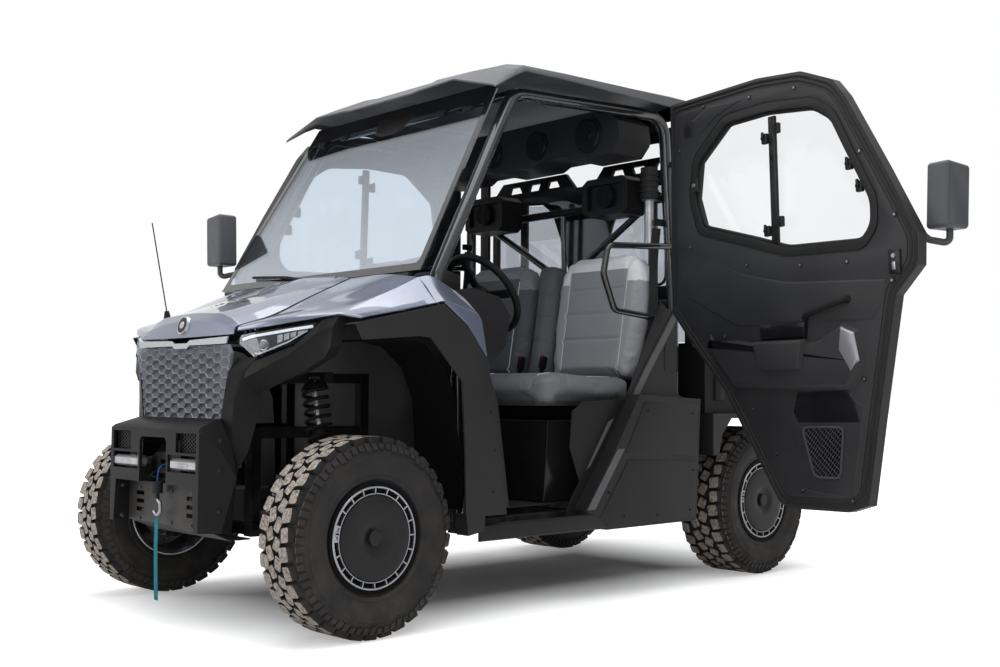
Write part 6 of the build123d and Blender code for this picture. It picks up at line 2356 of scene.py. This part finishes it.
@dataclass
class Studio:
    """The floor, the lights and the camera.

    Attributes:
        eye: The camera's place in vehicle coordinates.
        yaw: Its turn from looking along +y towards -x, in degrees.
        rise: How far it looks up, in degrees.
        roll: Its roll, in degrees.
        lens: Its focal length in millimetres on a 36 mm sensor.
        aim: What the lights point at.
        floor_glow: How far the floor beside the vehicle, outside the painted shadow under it, is lifted
            towards white.
        low_sky: Strength of the surround's light at the horizon.
        high_sky: Strength of its light overhead.
        floor_r: The floor's radius.
    """

    eye: Point = (4.0587, -2.4969, 0.8173)
    yaw: float = 46.917
    rise: float = 2.938
    roll: float = 0.277
    lens: float = 43.77
    aim: Point = (0.0, 1.1, 0.9)
    floor_glow: float = 0.55
    low_sky: float = 0.16
    high_sky: float = 0.60
    floor_r: float = 60.0

    def camera(self) -> None:
        """Set the camera."""
        yaw, rise, roll = (math.radians(angle) for angle in (self.yaw, self.rise, self.roll))
        ahead = Vector((-math.sin(yaw) * math.cos(rise), math.cos(yaw) * math.cos(rise), math.sin(rise)))
        side = ahead.cross(Vector((0, 0, 1))).normalized()
        up = side.cross(ahead)
        right = side * math.cos(roll) + up * math.sin(roll)
        top = up * math.cos(roll) - side * math.sin(roll)
        turn = Matrix((right, top, -ahead)).transposed().to_4x4()
        data = bpy.data.cameras.new("camera")
        data.lens = self.lens
        data.sensor_width = 36.0
        obj = linked("camera", data)
        obj.matrix_world = Matrix.Translation(placed(self.eye)) @ turn
        bpy.context.scene.camera = obj

    def floor(self) -> None:
        """Lay the plain pale floor, which fades to white away from the vehicle, with a painted shadow under
        it.
        """
        bm = bmesh.new()
        bmesh.ops.create_circle(bm, cap_ends=True, segments=96, radius=self.floor_r)
        mesh = bpy.data.meshes.new("floor")
        bm.to_mesh(mesh)
        bm.free()
        tree = Shader("floor_white")
        tone = tree.ramp(tree.noise(0.8, 4.0), 0.2, 0.8)
        tree.link(tree.blend(tone, (0.78, 0.78, 0.78), (0.81, 0.81, 0.81)),
            tree.shader.inputs["Base Color"])
        tree.set(Roughness=0.8, Specular_IOR_Level=0.15)
        seen = seen_rays(tree.material.node_tree)
        spread = tree.add("ShaderNodeMapping")
        spread.inputs["Location"].default_value = (ORIGIN.x, 0.0, 0.0)
        tree.link(tree.coords.outputs["Object"], spread.inputs["Vector"])
        sides = tree.add("ShaderNodeVectorMath", operation="ABSOLUTE")
        tree.link(spread.outputs["Vector"], sides.inputs[0])
        # The glow falls to almost nothing in a box under the vehicle: a painted shadow.
        across = tree.ramp(tree.axis("X", sides.outputs["Vector"]), 0.30, 0.85)
        along = tree.ramp(tree.axis("Y", sides.outputs["Vector"]), 0.95, 1.60)
        painted_shadow_glow = tree.ramp(tree.joined("MAXIMUM", across, along), 0.0, 1.0, 0.01, self.floor_glow)
        reach = tree.add("ShaderNodeVectorMath", operation="LENGTH")
        tree.link(spread.outputs["Vector"], reach.inputs[0])
        far = tree.ramp(reach.outputs["Value"], 2.2, 6.0, 0.0, 1.0 - self.floor_glow)
        shown = tree.joined("MULTIPLY", seen, tree.joined("ADD", painted_shadow_glow, far))
        tree.set(Emission_Color=(1.0, 1.0, 1.0, 1.0))
        tree.link(shown, tree.shader.inputs["Emission Strength"])
        mesh.materials.append(tree.material)
        linked("floor", mesh)

    def world(self) -> None:
        """Light the object from a plain pale surround."""
        world = bpy.data.worlds.new("studio")
        world.use_nodes = True
        bpy.context.scene.world = world
        nodes, links = world.node_tree.nodes, world.node_tree.links
        plain = nodes["Background"]
        plain.inputs["Color"].default_value = (0.86, 0.88, 0.92, 1.0)
        coords = nodes.new("ShaderNodeTexCoord")
        split = nodes.new("ShaderNodeSeparateXYZ")
        links.new(coords.outputs["Object"], split.inputs["Vector"])
        height = nodes.new("ShaderNodeMapRange")
        for key, value in (("From Min", -0.1), ("From Max", 0.9), ("To Min", self.low_sky),
                ("To Max", self.high_sky)):
            height.inputs[key].default_value = value
        links.new(split.outputs["Z"], height.inputs["Value"])
        links.new(height.outputs["Result"], plain.inputs["Strength"])
        white = nodes.new("ShaderNodeBackground")
        white.inputs["Color"].default_value = (1, 1, 1, 1)
        white.inputs["Strength"].default_value = 1.0
        mix = nodes.new("ShaderNodeMixShader")
        links.new(seen_rays(world.node_tree), mix.inputs["Fac"])
        links.new(plain.outputs["Background"], mix.inputs[1])
        links.new(white.outputs["Background"], mix.inputs[2])
        links.new(mix.outputs["Shader"], nodes["World Output"].inputs["Surface"])

    def lamp(self, name: str, place: Point, size: Pair, power: float) -> None:
        """Hang one soft rectangular light that points at the vehicle's middle.

        Args:
            name: Its name.
            place: Where it hangs, in vehicle coordinates.
            size: Its width and height.
            power: Its power in watts.
        """
        data = bpy.data.lights.new(name, "AREA")
        data.shape = "RECTANGLE"
        data.size, data.size_y = size
        data.energy = power
        spot, target = placed(place), placed(self.aim)
        turn = (target - spot).to_track_quat("-Z", "Y").to_matrix().to_4x4()
        linked(name, data).matrix_world = Matrix.Translation(spot) @ turn

    def build(self) -> None:
        """Set up the whole studio."""
        self.camera()
        self.floor()
        self.world()
        for name, place, size, power in (("top_light", (0.5, 0.6, 5.2), (5.0, 6.0), 300.0),
                ("key_light", (5.2, -4.2, 3.8), (3.4, 3.4), 80.0),
                ("nose_light", (-3.2, -5.2, 2.6), (3.0, 3.0), 120.0)):
            self.lamp(name, place, size, power)
        bpy.context.scene.view_settings.view_transform = "Standard"


def main() -> None:
    """Build the whole vehicle in order."""
    logging.basicConfig(level=logging.INFO, format="%(message)s")
    Studio().build()
    for end, x, y, width in (("front", 0.688, 0.0, 0.229), ("rear", 0.625, WHEELBASE, 0.274)):
        for side in Side:
            Wheel(f"{end}_{side.name.lower()}", side, x, y, width).build()
    carry_over()
    Grille().build()
    Headlamps().build()
    FrontPanels().build()
    BumperTrim().build()
    Door(Side.LEFT, opened=DOOR_REST).build()
    Door(Side.RIGHT).build()
    build_dampers()
    CabSide().build()
    BedTrim().build()
    Cab().build()
    Bench().build()
    WinchLine().build()


if __name__ == "__main__":
    main()
